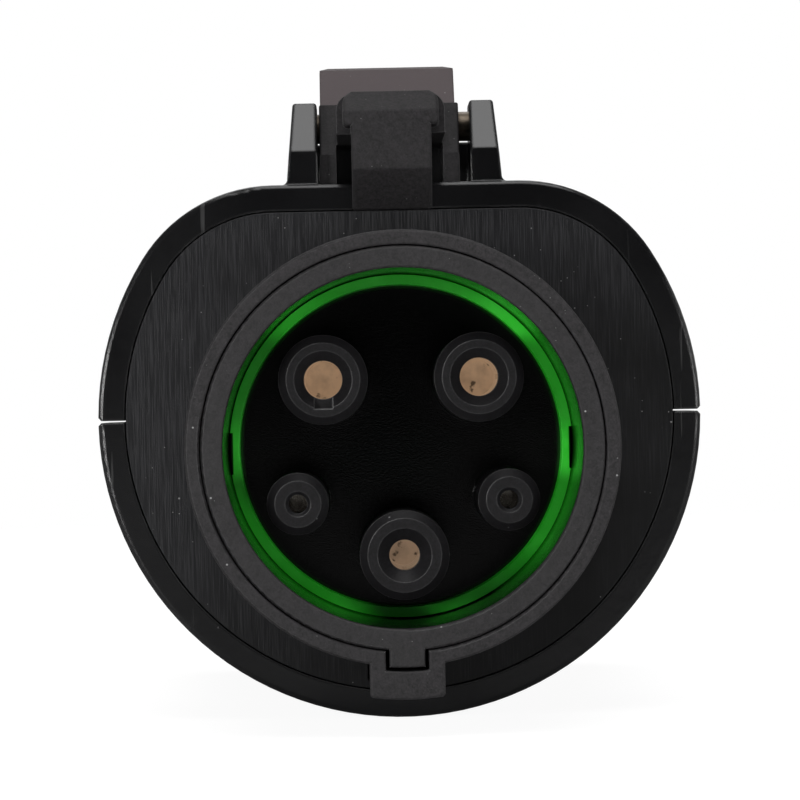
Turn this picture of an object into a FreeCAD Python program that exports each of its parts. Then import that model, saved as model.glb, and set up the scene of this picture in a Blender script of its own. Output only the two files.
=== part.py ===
import FreeCAD, Part
import math
import os
import Sketcher
from FreeCAD import Vector

# Charging adapter: a flat-topped round housing with a five-pole plug nose in
# front and a seven-hole inlet behind. Lengths are millimetres. X runs to the
# right, Y from the nose towards the inlet, and Z up. Depths are counted from
# the front of the nose, and heights from the nose axis, until each piece is
# placed with the housing's bottom on the ground and its length centred.

SIZES = [
    # Outline of the housing, seen from the front
    ("plate_land", 1.1),
    ("shoulder_radius", 16.6),
    ("plate_top_land", 3.35),
    ("nose_drop", 3.1),
    # Housing along its length
    ("nose_length", 33.0),
    ("body_length", 100.0),
    ("shell_wall", 2.8),
    ("seam_gap", 0.2),
    ("seam_bevel", 0.45),
    ("rim_round", 0.5),
    ("waist_depth", 1.6),
    ("front_collar", 15.0),
    ("waist_blend", 9.0),
    ("deck_width", 26.0),
    ("rib_thickness", 2.4),
    ("rib_height", 1.6),
    ("fit_gap", 0.15),
    # Grip grooves round the waist
    ("groove_count", 7),
    ("groove_pitch", 4.8),
    ("groove_width", 1.8),
    ("groove_depth", 0.7),
    ("groove_height", 24.0),
    # Faceplate and nose
    ("plate_thickness", 3.0),
    ("sleeve_radius", 21.9),
    ("sleeve_wall", 1.5),
    ("sleeve_round", 0.25),
    ("flange_thickness", 2.8),
    ("tab_width", 7.55),
    ("tab_height", 3.3),
    ("tab_round", 0.4),
    ("key_width", 3.6),
    ("key_height", 1.6),
    ("key_gap", 0.35),
    ("shroud_wall", 2.18),
    ("shroud_flange_step", 2.8),
    ("shroud_flange_thickness", 2.0),
    ("shroud_gap", 0.12),
    # Cavity, towers and contacts
    ("cavity_depth", 27.0),
    ("carrier_flange_thickness", 2.4),
    ("tower_front", 5.0),
    ("tower_bevel", 0.8),
    ("power_tower_radius", 4.55),
    ("signal_tower_radius", 3.15),
    ("power_x", 7.9),
    ("power_z", 7.0),
    ("earth_z", -10.9),
    ("signal_x", 10.7),
    ("signal_z", -5.5),
    ("contact_setback", 3.0),
    ("contact_tail_length", 8.0),
    ("contact_bore_depth", 15.0),
    ("contact_slot_width", 0.5),
    ("contact_slot_length", 9.0),
    ("power_contact_radius", 2.9),
    ("power_bore", 1.95),
    ("power_flare", 1.0),
    ("earth_contact_radius", 2.5),
    ("earth_bore", 1.55),
    ("earth_flare", 1.2),
    ("signal_contact_radius", 1.6),
    ("signal_bore", 0.95),
    ("signal_flare", 0.35),
    ("mouth_notch_width", 1.9),
    ("seal_front", 22.6),
    ("seal_width", 1.05),
    ("seal_notch_height", 4.4),
    ("seal_notch_drop", 0.5),
    ("seal_notch_depth", 0.35),
    # Inlet at the rear
    ("inlet_lip", 2.2),
    ("inlet_floor_wall", 3.0),
    ("inlet_depth", 24.0),
    ("inlet_rim", 1.25),
    ("channel_width", 4.6),
    ("socket_radius", 5.2),
    ("signal_socket_radius", 3.3),
    ("island_wall", 0.9),
    ("inlet_signal_x", 7.9),
    ("power_pin_radius", 3.0),
    ("signal_pin_radius", 1.5),
    ("power_collar_radius", 3.7),
    ("signal_collar_radius", 2.1),
    ("press_gap", 0.02),
    ("pin_setback", 6.0),
    ("pin_tip_bevel", 0.9),
    ("power_tail_radius", 2.1),
    ("signal_tail_radius", 1.1),
    ("pin_tail_length", 9.0),
    ("retainer_thickness", 2.5),
    # Latch
    ("ear_gap", 16.4),
    ("ear_width", 3.3),
    ("ear_lean", 0.7),
    ("ear_height", 8.9),
    ("ear_setback", 1.0),
    ("ear_length", 13.5),
    ("ear_front_height", 3.6),
    ("ear_slope_run", 3.2),
    ("ear_foot_round", 0.6),
    ("ear_round", 0.35),
    ("bridge_gap", 0.5),
    ("bridge_thickness", 2.0),
    ("bridge_height", 4.9),
    ("pivot_setback", 8.0),
    ("pivot_rise", 6.3),
    ("pin_radius", 1.6),
    ("pin_clearance", 0.06),
    ("pin_inset", 0.3),
    ("block_left_gap", 0.23),
    ("block_right_gap", 1.13),
    ("block_setback", 3.0),
    ("block_length", 10.5),
    ("block_leg_gap", 11.5),
    ("leg_clearance", 0.15),
    ("arm_width", 11.2),
    ("arm_wall", 1.5),
    ("arm_top", 8.4),
    ("arm_height", 4.2),
    ("arm_round", 1.8),
    ("arm_front", 14.0),
    ("hook_front", 9.0),
    ("hook_length", 7.0),
    ("hook_width", 8.2),
    ("hook_head_width", 9.8),
    ("hook_tip_rise", 2.5),
    ("hook_ramp_run", 3.6),
    ("hook_ramp_rise", 4.0),
    ("hook_brow_run", 2.2),
    ("hook_brow_drop", 2.1),
    ("hook_lobe_drop", 3.6),
    ("hook_round", 1.2),
    ("hook_lobe_round", 0.5),
    ("hook_edge_round", 0.4),
    ("neck_length", 8.5),
    ("neck_rise", 6.35),
    ("pad_riser_run", 5.5),
    ("pad_rise", 14.0),
    ("pad_crown", 15.2),
    ("pad_brow", 2.0),
    ("skirt_rear", 7.6),
    ("skirt_wall", 1.8),
    ("block_top", 8.8),
    ("block_break", 3.3),
    ("block_rear_rise", 3.4),
    ("lever_round", 0.25),
    ("block_slope_run", 2.8),
    ("pad_crown_run", 20.0),
    ("pad_length", 31.0),
    ("pad_taper", 0.9),
    ("pad_skin", 2.0),
    ("spring_setback", 4.1),
    ("spring_radius", 3.0),
    ("spring_wire", 0.8),
    ("spring_turns", 6),
    ("spring_post_radius", 2.3),
    ("spring_post_height", 2.5),
    # Release switch and its plunger
    ("switch_gap", 0.25),
    ("plunger_radius", 1.5),
    ("plunger_clearance", 0.08),
    ("plunger_travel", 1.6),
    ("switch_length", 12.8),
    ("switch_width", 6.0),
    ("switch_height", 6.5),
    # Fixings and wiring
    ("boss_inset", 1.4),
    ("boss_gap", 1.2),
    ("screw_front_setback", 29.5),
    ("screw_radius", 1.45),
    ("screw_head_radius", 2.7),
    ("screw_head_height", 2.0),
    ("screw_reach", 9.0),
    ("screw_seat_drop", 14.0),
    ("boss_radius", 3.2),
    ("boss_foot_radius", 4.3),
    ("wire_radius", 1.9),
    ("signal_wire_radius", 0.9),
    ("board_width", 18.0),
    ("board_length", 28.0),
    ("board_thickness", 1.6),
    ("board_setback", 23.0),
    ("board_post_height", 3.0),
    ("board_post_radius", 2.4),
    ("board_screw_radius", 1.0),
    ("board_screw_reach", 3.0),
    ("board_screw_inset", 4.0),
    ("wire_bend", 5.0),
    ("signal_wire_bend", 3.0),
    ("wire_slope_degrees", 60.0),
    ("wire_lead", 1.0),
]

doc = FreeCAD.newDocument("charging_adapter")
sheet = doc.addObject("Spreadsheet::Sheet", "Sizes")
for row, (alias, number) in enumerate(SIZES, start=1):
    sheet.set("A%d" % row, alias)
    sheet.set("B%d" % row, str(number))
    sheet.setAlias("B%d" % row, alias)
doc.recompute()


class Size:
    """A length as a number, together with the sheet expression it comes from."""

    def __init__(self, text, number):
        self.text = text
        self.number = float(number)

    def __add__(self, other):
        other = as_size(other)
        return Size("(%s + %s)" % (self.text, other.text), self.number + other.number)

    def __sub__(self, other):
        other = as_size(other)
        return Size("(%s - %s)" % (self.text, other.text), self.number - other.number)

    def __mul__(self, other):
        other = as_size(other)
        return Size("(%s * %s)" % (self.text, other.text), self.number * other.number)

    def __truediv__(self, other):
        other = as_size(other)
        return Size("(%s / %s)" % (self.text, other.text), self.number / other.number)

    def __neg__(self):
        return Size("(0 - %s)" % self.text, -self.number)

    def __radd__(self, other):
        return as_size(other) + self

    def __rsub__(self, other):
        return as_size(other) - self

    def __rmul__(self, other):
        return as_size(other) * self

    def root(self):
        return Size("sqrt(%s)" % self.text, math.sqrt(self.number))


def as_size(thing):
    return thing if isinstance(thing, Size) else Size("%g" % thing, thing)


class Sizes:
    """Reads a named cell of the sheet as a Size."""

    def __getattr__(self, alias):
        return Size("Sizes.%s" % alias, sheet.get(alias))


S = Sizes()
ZERO = as_size(0)
# How far a cutting outline, or a feature that joins another, reaches past the face it meets
PAST = as_size(1)

# Rings of the nose, from its outside inwards, and what stands out from them
sleeve_bore = S.sleeve_radius - S.sleeve_wall
shroud_bore = sleeve_bore - S.shroud_gap - S.shroud_wall
shroud_flange_radius = sleeve_bore + S.shroud_flange_step
key_reach = sleeve_bore + S.key_height
tab_reach = S.sleeve_radius + S.tab_height

# The housing goes round the nose, its tab and a land of the faceplate
body_radius = tab_reach + S.nose_drop + S.plate_land + S.shell_wall
flat_top = S.sleeve_radius + S.plate_top_land + S.shell_wall
overall_length = S.nose_length + S.body_length
nose_height = body_radius - S.nose_drop
centre = S.nose_drop
cavity_inset = S.shell_wall + S.waist_depth
inner_top = flat_top - cavity_inset
rear = overall_length
rear_collar = S.inlet_depth + S.inlet_floor_wall
inlet_length = rear_collar + S.rib_thickness * 2 + S.inlet_lip

# The inlet's channel and island follow the housing's outline
channel_inset = S.shell_wall + S.fit_gap + S.inlet_rim
island_inset = channel_inset + S.channel_width
inlet_pitch = body_radius - island_inset - S.socket_radius - S.island_wall
inlet_signal_rise = flat_top - centre - island_inset - S.signal_socket_radius - S.island_wall


def place(item, x=ZERO, depth=ZERO, height=ZERO):
    """Puts a piece's own origin at x, depth behind the nose's front, and height over its axis."""
    item.setExpression("Placement.Base.x", as_size(x).text)
    item.setExpression("Placement.Base.y", (as_size(depth) - overall_length / 2).text)
    item.setExpression("Placement.Base.z", (as_size(height) + nose_height).text)


pieces = []


def new_body(name, x=ZERO, depth=ZERO, height=ZERO):
    body = doc.addObject("PartDesign::Body", name)
    body.Label = name
    place(body, x, depth, height)
    pieces.append(body)
    return body


def new_sketch(body, name, plane, offset=ZERO):
    """A sketch on one of the body's own planes. Offset is a depth, a height or an x."""
    sketch = body.newObject("Sketcher::SketchObject", body.Name + "_" + name)
    found = [item for item in body.Origin.OriginFeatures if item.Role == plane]
    sketch.AttachmentSupport = [(found[0], "")]
    sketch.MapMode = "FlatFace"
    shift = -as_size(offset) if plane == "XZ_Plane" else as_size(offset)
    sketch.setExpression("AttachmentOffset.Base.z", shift.text)
    return sketch


def front_sketch(body, name, depth=ZERO):
    return new_sketch(body, name, "XZ_Plane", depth)


def side_sketch(body, name, x=ZERO):
    return new_sketch(body, name, "YZ_Plane", x)


def plan_sketch(body, name, height=ZERO):
    return new_sketch(body, name, "XY_Plane", height)


def hold(sketch, kind, *places, size):
    """Adds a dimension to a sketch and ties it to the sheet."""
    index = sketch.addConstraint(Sketcher.Constraint(kind, *places, size.number))
    sketch.setExpression("Constraints[%d]" % index, size.text)


def hold_point(sketch, element, point, across, up):
    hold(sketch, "DistanceX", -1, 1, element, point, size=as_size(across))
    hold(sketch, "DistanceY", -1, 1, element, point, size=as_size(up))


def draw_circle(sketch, across, up, radius):
    across, up, radius = as_size(across), as_size(up), as_size(radius)
    middle = Vector(across.number, up.number, 0)
    element = sketch.addGeometry(Part.Circle(middle, Vector(0, 0, 1), radius.number), False)
    hold_point(sketch, element, 3, across, up)
    hold(sketch, "Radius", element, size=radius)
    return element


def draw_polygon(sketch, points):
    """A closed outline of straight lines through (across, up) points."""
    points = [(as_size(across), as_size(up)) for across, up in points]
    flat = [Vector(across.number, up.number, 0) for across, up in points]
    elements = []
    for index, start in enumerate(flat):
        line = Part.LineSegment(start, flat[(index + 1) % len(flat)])
        elements.append(sketch.addGeometry(line, False))
    for index, element in enumerate(elements):
        following = elements[(index + 1) % len(elements)]
        sketch.addConstraint(Sketcher.Constraint("Coincident", element, 2, following, 1))
    for element, (across, up) in zip(elements, points):
        hold_point(sketch, element, 1, across, up)
    return elements


def draw_rectangle(sketch, left, bottom, right, top):
    return draw_polygon(sketch, [(left, bottom), (right, bottom), (right, top), (left, top)])


def draw_housing_outline(sketch, inset=ZERO):
    """The housing's outline moved inwards: a large arc, two shoulder arcs inside it and a flat top.

    All insets share the same three arc centres, because radii and flat shrink by one amount.
    """
    inset = as_size(inset)
    big = body_radius - inset
    small = S.shoulder_radius - inset
    top = flat_top - inset
    small_z = top - small
    reach = big.number - small.number
    climb = small_z.number - centre.number
    small_x = math.sqrt(reach * reach - climb * climb)
    turn = math.atan2(climb, small_x)
    up = Vector(0, 0, 1)
    main = Part.Circle(Vector(0, centre.number, 0), up, big.number)
    right = Part.Circle(Vector(small_x, small_z.number, 0), up, small.number)
    left = Part.Circle(Vector(-small_x, small_z.number, 0), up, small.number)
    main_arc = sketch.addGeometry(Part.ArcOfCircle(main, math.pi - turn, 2 * math.pi + turn), False)
    right_arc = sketch.addGeometry(Part.ArcOfCircle(right, turn, math.pi / 2), False)
    left_arc = sketch.addGeometry(Part.ArcOfCircle(left, math.pi / 2, math.pi - turn), False)
    flat_start = Vector(-small_x, top.number, 0)
    flat_end = Vector(small_x, top.number, 0)
    flat = sketch.addGeometry(Part.LineSegment(flat_start, flat_end), False)
    sketch.addConstraint(Sketcher.Constraint("Tangent", main_arc, 2, right_arc, 1))
    sketch.addConstraint(Sketcher.Constraint("Tangent", right_arc, 2, flat, 2))
    sketch.addConstraint(Sketcher.Constraint("Tangent", flat, 1, left_arc, 1))
    sketch.addConstraint(Sketcher.Constraint("Tangent", left_arc, 2, main_arc, 1))
    sketch.addConstraint(Sketcher.Constraint("Horizontal", flat))
    hold_point(sketch, main_arc, 3, ZERO, centre)
    hold(sketch, "Radius", main_arc, size=big)
    hold(sketch, "Radius", right_arc, size=small)
    hold(sketch, "Radius", left_arc, size=small)
    hold(sketch, "DistanceY", -1, 1, flat, 1, size=top)


def pad(body, name, sketch, length, both_sides=False, rearwards=True):
    """Adds material. Front sketches grow to the rear, plan sketches upwards."""
    feature = body.newObject("PartDesign::Pad", body.Name + "_" + name)
    feature.Profile = sketch
    feature.setExpression("Length", as_size(length).text)
    if both_sides:
        feature.SideType = "Symmetric"
    elif sketch.AttachmentSupport[0][0].Role == "XZ_Plane":
        feature.Reversed = rearwards
    return feature


def cut(body, name, sketch, length=None, both_sides=False, upwards=False):
    """Takes material away. Front sketches cut to the rear, plan sketches downwards."""
    feature = body.newObject("PartDesign::Pocket", body.Name + "_" + name)
    feature.Profile = sketch
    if length is None:
        feature.Type = "ThroughAll"
    else:
        feature.setExpression("Length", as_size(length).text)
    if both_sides:
        feature.SideType = "Symmetric"
    feature.Reversed = upwards
    return feature


def loft(body, name, first, last):
    feature = body.newObject("PartDesign::AdditiveLoft", body.Name + "_" + name)
    feature.Profile = first
    feature.Sections = [last]
    feature.Ruled = True
    return feature


def turned_piece(name, x, depth, height, profile):
    """A turned piece: its half profile of (depth, radius) points spun about its own axis."""
    body = new_body(name, x, depth, height)
    sketch = side_sketch(body, "profile")
    draw_polygon(sketch, profile)
    spin = body.newObject("PartDesign::Revolution", name + "_spin")
    spin.Profile = sketch
    spin.ReferenceAxis = (sketch, ["H_Axis"])
    spin.Angle = 360
    return body


def edges_where(feature, test):
    """Names of the feature's edges whose two ends and middle all pass the test."""
    doc.recompute()
    names = []
    for index, edge in enumerate(feature.Shape.Edges, start=1):
        middle = edge.valueAt((edge.FirstParameter + edge.LastParameter) / 2)
        points = [vertex.Point for vertex in edge.Vertexes] + [middle]
        if all(test(point) for point in points):
            names.append("Edge%d" % index)
    return names


def dress(body, kind, name, feature, names, size):
    """A fillet or a chamfer along the named edges."""
    dressing = body.newObject("PartDesign::" + kind, body.Name + "_" + name)
    dressing.Base = (feature, names)
    dressing.setExpression("Radius" if kind == "Fillet" else "Size", as_size(size).text)
    return dressing


def distance_inside(point):
    """How far a point of a front view lies inside the housing's outline."""
    small_z = flat_top.number - S.shoulder_radius.number
    reach = body_radius.number - S.shoulder_radius.number
    climb = small_z - centre.number
    small_x = math.sqrt(reach * reach - climb * climb)
    side = abs(point.x)
    over = point.z - centre.number
    if over * small_x <= climb * side:
        return body_radius.number - math.hypot(side, over)
    if side > small_x:
        return S.shoulder_radius.number - math.hypot(side - small_x, point.z - small_z)
    return flat_top.number - point.z


NEAR = 0.02

# Depths of the steps inside the housing, from the front face of the shells
front = S.nose_length
flange_front = front + S.plate_thickness + S.fit_gap / 2
ledge = flange_front + S.flange_thickness + S.fit_gap / 2
shroud_flange = ledge
carrier_flange = shroud_flange + S.shroud_flange_thickness
front_rib = carrier_flange + S.carrier_flange_thickness + S.fit_gap / 2
inlet_step = rear - rear_collar
rear_rib = inlet_step - S.rib_thickness * 2
waist_front = front + S.front_collar
waist_rear = rear - rear_collar
waist_run = waist_rear - waist_front - S.waist_blend * 2
inlet_floor = rear - S.inlet_depth
inlet_front = rear - inlet_length
carrier_rear = carrier_flange + S.carrier_flange_thickness

# Depths of the latch, its spring and the switch, and of the fixings
block_front = front + S.block_setback
block_rear = block_front + S.block_length
pad_front = block_rear + S.neck_length
pad_crown_depth = pad_front + S.pad_crown_run
pad_rear = pad_front + S.pad_length
pad_ceiling_front = pad_front + S.pad_riser_run + S.pad_skin / 2
spring_depth = pad_ceiling_front + S.spring_setback + S.spring_radius + S.spring_wire / 2
plunger_depth = carrier_rear + S.retainer_thickness + S.switch_gap + S.switch_length / 2
board_front = front + S.board_setback
screw_x = body_radius - cavity_inset - S.boss_radius - S.boss_inset
screw_front_depth = front + S.screw_front_setback
screw_rear_depth = inlet_front - S.retainer_thickness - S.boss_foot_radius - S.boss_gap

# The lever lies between the ears, nearer the left one, and turns on the pin
block_width = S.ear_gap - S.block_left_gap - S.block_right_gap
block_offset = (S.block_right_gap - S.block_left_gap) / 2
pivot_depth = front + S.pivot_setback
pivot_height = flat_top + S.pivot_rise


def shell_blank(body):
    """Both shells' common form: two collars and a waist, hollow, with ledges and ribs inside."""
    outline = front_sketch(body, "front_outline", front)
    draw_housing_outline(outline)
    pad(body, "front_collar", outline, S.front_collar)
    start = front_sketch(body, "blend_start", waist_front)
    draw_housing_outline(start)
    end = front_sketch(body, "blend_end", waist_front + S.waist_blend)
    draw_housing_outline(end, S.waist_depth)
    loft(body, "front_blend", start, end)
    waist = front_sketch(body, "waist_outline", waist_front + S.waist_blend)
    draw_housing_outline(waist, S.waist_depth)
    pad(body, "waist", waist, waist_run)
    start = front_sketch(body, "rear_blend_start", waist_rear - S.waist_blend)
    draw_housing_outline(start, S.waist_depth)
    end = front_sketch(body, "rear_blend_end", waist_rear)
    draw_housing_outline(end)
    loft(body, "rear_blend", start, end)
    outline = front_sketch(body, "rear_outline", waist_rear)
    draw_housing_outline(outline)
    return pad(body, "rear_collar", outline, rear_collar)


def hollow(body):
    """Recesses for the plate and inlet, ledges they seat on, and the main cavity."""
    recess = front_sketch(body, "front_recess", front)
    draw_housing_outline(recess, S.shell_wall)
    cut(body, "front_recess_cut", recess, ledge - front)
    seat = front_sketch(body, "flange_seat", front)
    draw_housing_outline(seat, cavity_inset)
    cut(body, "flange_seat_cut", seat, front_rib - front)
    mouth = front_sketch(body, "rib_mouth", front)
    draw_circle(mouth, ZERO, ZERO, sleeve_bore)
    cut(body, "rib_mouth_cut", mouth, front_rib - front + S.rib_thickness)
    cavity = front_sketch(body, "cavity", front_rib + S.rib_thickness)
    draw_housing_outline(cavity, cavity_inset)
    cut(body, "cavity_cut", cavity, rear_rib - front_rib - S.rib_thickness)
    collar = front_sketch(body, "rear_rib_mouth", rear_rib)
    draw_housing_outline(collar, cavity_inset + S.rib_height)
    cut(body, "rear_rib_cut", collar, S.rib_thickness)
    seat = front_sketch(body, "inlet_seat", rear_rib + S.rib_thickness)
    draw_housing_outline(seat, cavity_inset)
    cut(body, "inlet_seat_cut", seat, S.rib_thickness)
    recess = front_sketch(body, "rear_recess", inlet_step)
    draw_housing_outline(recess, S.shell_wall)
    return cut(body, "rear_recess_cut", recess, rear_collar)


def trim_outside(body):
    """Cuts away what reaches outside the waist, such as the feet of the screw bosses."""
    beyond = body_radius * 2
    sketch = front_sketch(body, "trim", waist_front + S.waist_blend)
    draw_rectangle(sketch, -beyond, -beyond, beyond, beyond)
    draw_housing_outline(sketch, S.waist_depth)
    return cut(body, "trim_cut", sketch, waist_run)


def draw_side_band(sketch, side, bottom_radius):
    """The space outside an arc on one side of the housing, over the grooves' height."""
    half = S.groove_height / 2
    reach = (bottom_radius * bottom_radius - half * half).root()
    out = body_radius + PAST
    ring = Part.Circle(Vector(0, centre.number, 0), Vector(0, 0, 1), bottom_radius.number)
    turn = math.atan2(half.number, reach.number)
    begin = -turn if side > 0 else math.pi - turn
    arc = sketch.addGeometry(Part.ArcOfCircle(ring, begin, begin + 2 * turn), False)
    first = centre + side * half
    last = centre - side * half
    corners = [(side * reach, first), (side * out, first), (side * out, last), (side * reach, last)]
    spots = [Vector(x.number, z.number, 0) for x, z in corners]
    lines = [sketch.addGeometry(Part.LineSegment(spots[i], spots[i + 1]), False) for i in range(3)]
    chain = [arc] + lines
    for index, element in enumerate(chain):
        following = chain[(index + 1) % len(chain)]
        sketch.addConstraint(Sketcher.Constraint("Coincident", element, 2, following, 1))
    hold_point(sketch, arc, 3, ZERO, centre)
    hold(sketch, "Radius", arc, size=bottom_radius)
    hold_point(sketch, lines[1], 1, side * out, first)
    hold_point(sketch, lines[1], 2, side * out, last)
    sketch.addConstraint(Sketcher.Constraint("Horizontal", lines[0]))
    sketch.addConstraint(Sketcher.Constraint("Horizontal", lines[2]))


def grip_grooves(body):
    """Shallow upright grooves in both sides of the waist, repeated along its middle."""
    run = (S.groove_count - 1) * S.groove_pitch
    middle = waist_front + S.waist_blend + waist_run / 2
    sketch = front_sketch(body, "groove", middle - run / 2 - S.groove_width / 2)
    for side in (-1, 1):
        draw_side_band(sketch, side, body_radius - S.waist_depth - S.groove_depth)
    groove = cut(body, "groove_cut", sketch, S.groove_width)
    pattern = body.newObject("PartDesign::LinearPattern", body.Name + "_grooves")
    pattern.Originals = [groove]
    pattern.Direction = (sketch, ["N_Axis"])
    pattern.Reversed = True
    pattern.setExpression("Length", run.text)
    pattern.setExpression("Occurrences", S.groove_count.text)
    body.Tip = pattern
    return pattern


def seam_notch(body):
    """The shallow V along the seam's outer edge on both collars."""
    sketch = front_sketch(body, "seam_notch", front - PAST)
    for side in (-1, 1):
        draw_polygon(sketch, [(side * (body_radius - S.seam_bevel), centre),
                              (side * (body_radius + PAST), centre + S.seam_bevel + PAST),
                              (side * (body_radius + PAST), centre - S.seam_bevel - PAST)])
    return cut(body, "seam_notch_cut", sketch, S.body_length + PAST * 2)


def keep_half(body, upper):
    """Cuts the shell along the seam, leaving half of the seam's gap."""
    beyond = body_radius * 2
    sketch = front_sketch(body, "half", ZERO)
    if upper:
        draw_rectangle(sketch, -beyond, centre - beyond, beyond, centre + S.seam_gap / 2)
    else:
        draw_rectangle(sketch, -beyond, centre - S.seam_gap / 2, beyond, centre + beyond)
    return cut(body, "half_cut", sketch, overall_length + PAST)


def screw_places():
    return [(side * screw_x, depth) for depth in (screw_front_depth, screw_rear_depth)
            for side in (-1, 1)]


def board_screw_depths():
    return (board_front + S.board_screw_inset, board_front + S.board_length - S.board_screw_inset)


def build_lower_shell():
    body = new_body("lower_shell")
    shell_blank(body)
    hollow(body)
    seat = centre - S.screw_seat_drop
    bottom = centre - body_radius + S.waist_depth
    foot = plan_sketch(body, "boss_feet", bottom)
    for x, depth in screw_places():
        draw_circle(foot, x, depth, S.boss_foot_radius)
    pad(body, "boss_feet_pad", foot, seat + S.screw_head_height * 2 - bottom)
    boss = plan_sketch(body, "bosses", seat)
    for x, depth in screw_places():
        draw_circle(boss, x, depth, S.boss_radius)
    pad(body, "boss_pad", boss, S.screw_seat_drop)
    posts = plan_sketch(body, "board_posts", bottom)
    for depth in board_screw_depths():
        draw_circle(posts, ZERO, depth, S.board_post_radius)
    pad(body, "board_post_pad", posts, S.shell_wall + S.board_post_height)
    trim_outside(body)
    grip_grooves(body)
    seam_notch(body)
    recess = plan_sketch(body, "head_recesses", seat)
    for x, depth in screw_places():
        draw_circle(recess, x, depth, S.screw_head_radius + S.fit_gap)
    cut(body, "head_recess_cut", recess)
    holes = plan_sketch(body, "screw_holes", seat)
    for x, depth in screw_places():
        draw_circle(holes, x, depth, S.screw_radius + S.fit_gap)
    cut(body, "screw_hole_cut", holes, upwards=True)
    pilots = plan_sketch(body, "board_pilots", bottom + S.shell_wall + S.board_post_height)
    for depth in board_screw_depths():
        draw_circle(pilots, ZERO, depth, S.board_screw_radius)
    cut(body, "board_pilot_cut", pilots, S.board_screw_reach)
    finish_shell(body, keep_half(body, False))


def draw_ear(sketch, side):
    """One ear seen from the front: upright inside, leaning in a little outside, with a rounded foot."""
    inner = side * (S.ear_gap / 2)
    outer = side * (S.ear_gap / 2 + S.ear_width)
    tip = side * (S.ear_gap / 2 + S.ear_width - S.ear_lean)
    foot = side * (S.ear_gap / 2 + S.ear_width + S.ear_foot_round)
    base = flat_top - S.shell_wall / 2
    top = flat_top + S.ear_height
    bend = flat_top + S.ear_foot_round
    corners = [(outer, bend), (tip, top), (inner, top), (inner, base), (foot, base), (foot, flat_top)]
    spots = [Vector(x.number, z.number, 0) for x, z in corners]
    lines = [sketch.addGeometry(Part.LineSegment(spots[i], spots[i + 1]), False) for i in range(5)]
    ring = Part.Circle(Vector(foot.number, bend.number, 0), Vector(0, 0, 1), S.ear_foot_round.number)
    begin = math.pi if side > 0 else 1.5 * math.pi
    arc = sketch.addGeometry(Part.ArcOfCircle(ring, begin, begin + math.pi / 2), False)
    high_end, low_end = (1, 2) if side > 0 else (2, 1)
    for line, following in zip(lines, lines[1:]):
        sketch.addConstraint(Sketcher.Constraint("Coincident", line, 2, following, 1))
    sketch.addConstraint(Sketcher.Constraint("Coincident", arc, high_end, lines[0], 1))
    sketch.addConstraint(Sketcher.Constraint("Coincident", arc, low_end, lines[-1], 2))
    for line, (x, z) in zip(lines, corners):
        hold_point(sketch, line, 1, x, z)
    hold_point(sketch, lines[-1], 2, foot, flat_top)
    hold(sketch, "Radius", arc, size=S.ear_foot_round)


def add_ears(body):
    """The two ears that hold the latch pin, and the low wall between them behind the lever's block."""
    ear_front = front + S.ear_setback
    ear_rear = ear_front + S.ear_length
    ears = front_sketch(body, "ears", ear_front)
    for side in (-1, 1):
        draw_ear(ears, side)
    pad(body, "ear_pad", ears, S.ear_length)
    top = flat_top + S.ear_height
    above = top + PAST
    bend = flat_top + S.ear_front_height
    slopes = side_sketch(body, "ear_slopes")
    draw_polygon(slopes, [(ear_front - PAST, bend), (ear_front, bend),
                          (ear_front + S.ear_slope_run, top), (ear_front + S.ear_slope_run, above),
                          (ear_front - PAST, above)])
    draw_polygon(slopes, [(ear_rear, bend), (ear_rear + PAST, bend), (ear_rear + PAST, above),
                          (ear_rear - S.ear_slope_run, above), (ear_rear - S.ear_slope_run, top)])
    last = cut(body, "ear_slope_cut", slopes, body_radius * 2, both_sides=True)
    inner = S.ear_gap.number / 2
    lean = S.ear_lean.number / (S.ear_height.number - S.ear_foot_round.number)

    def on_ear_edge(point):
        rise = point.z - flat_top.number
        outer = inner + S.ear_width.number - lean * (rise - S.ear_foot_round.number)
        side = min(abs(abs(point.x) - inner), abs(abs(point.x) - outer))
        return (side < NEAR and rise > S.ear_front_height.number - NEAR
                and ear_front.number - NEAR < point.y < ear_rear.number + NEAR)

    dress(body, "Fillet", "ear_rounds", last, edges_where(last, on_ear_edge), S.ear_round)
    bridge = front_sketch(body, "bridge", block_rear + S.bridge_gap)
    reach = S.ear_gap / 2 + S.ear_width / 2
    draw_rectangle(bridge, -reach, flat_top - S.shell_wall / 2, reach, flat_top + S.bridge_height)
    pad(body, "bridge_pad", bridge, S.bridge_thickness)
    bore = side_sketch(body, "pin_hole")
    draw_circle(bore, pivot_depth, pivot_height, S.pin_radius + S.press_gap)
    cut(body, "pin_hole_cut", bore, body_radius * 2, both_sides=True)


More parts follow.
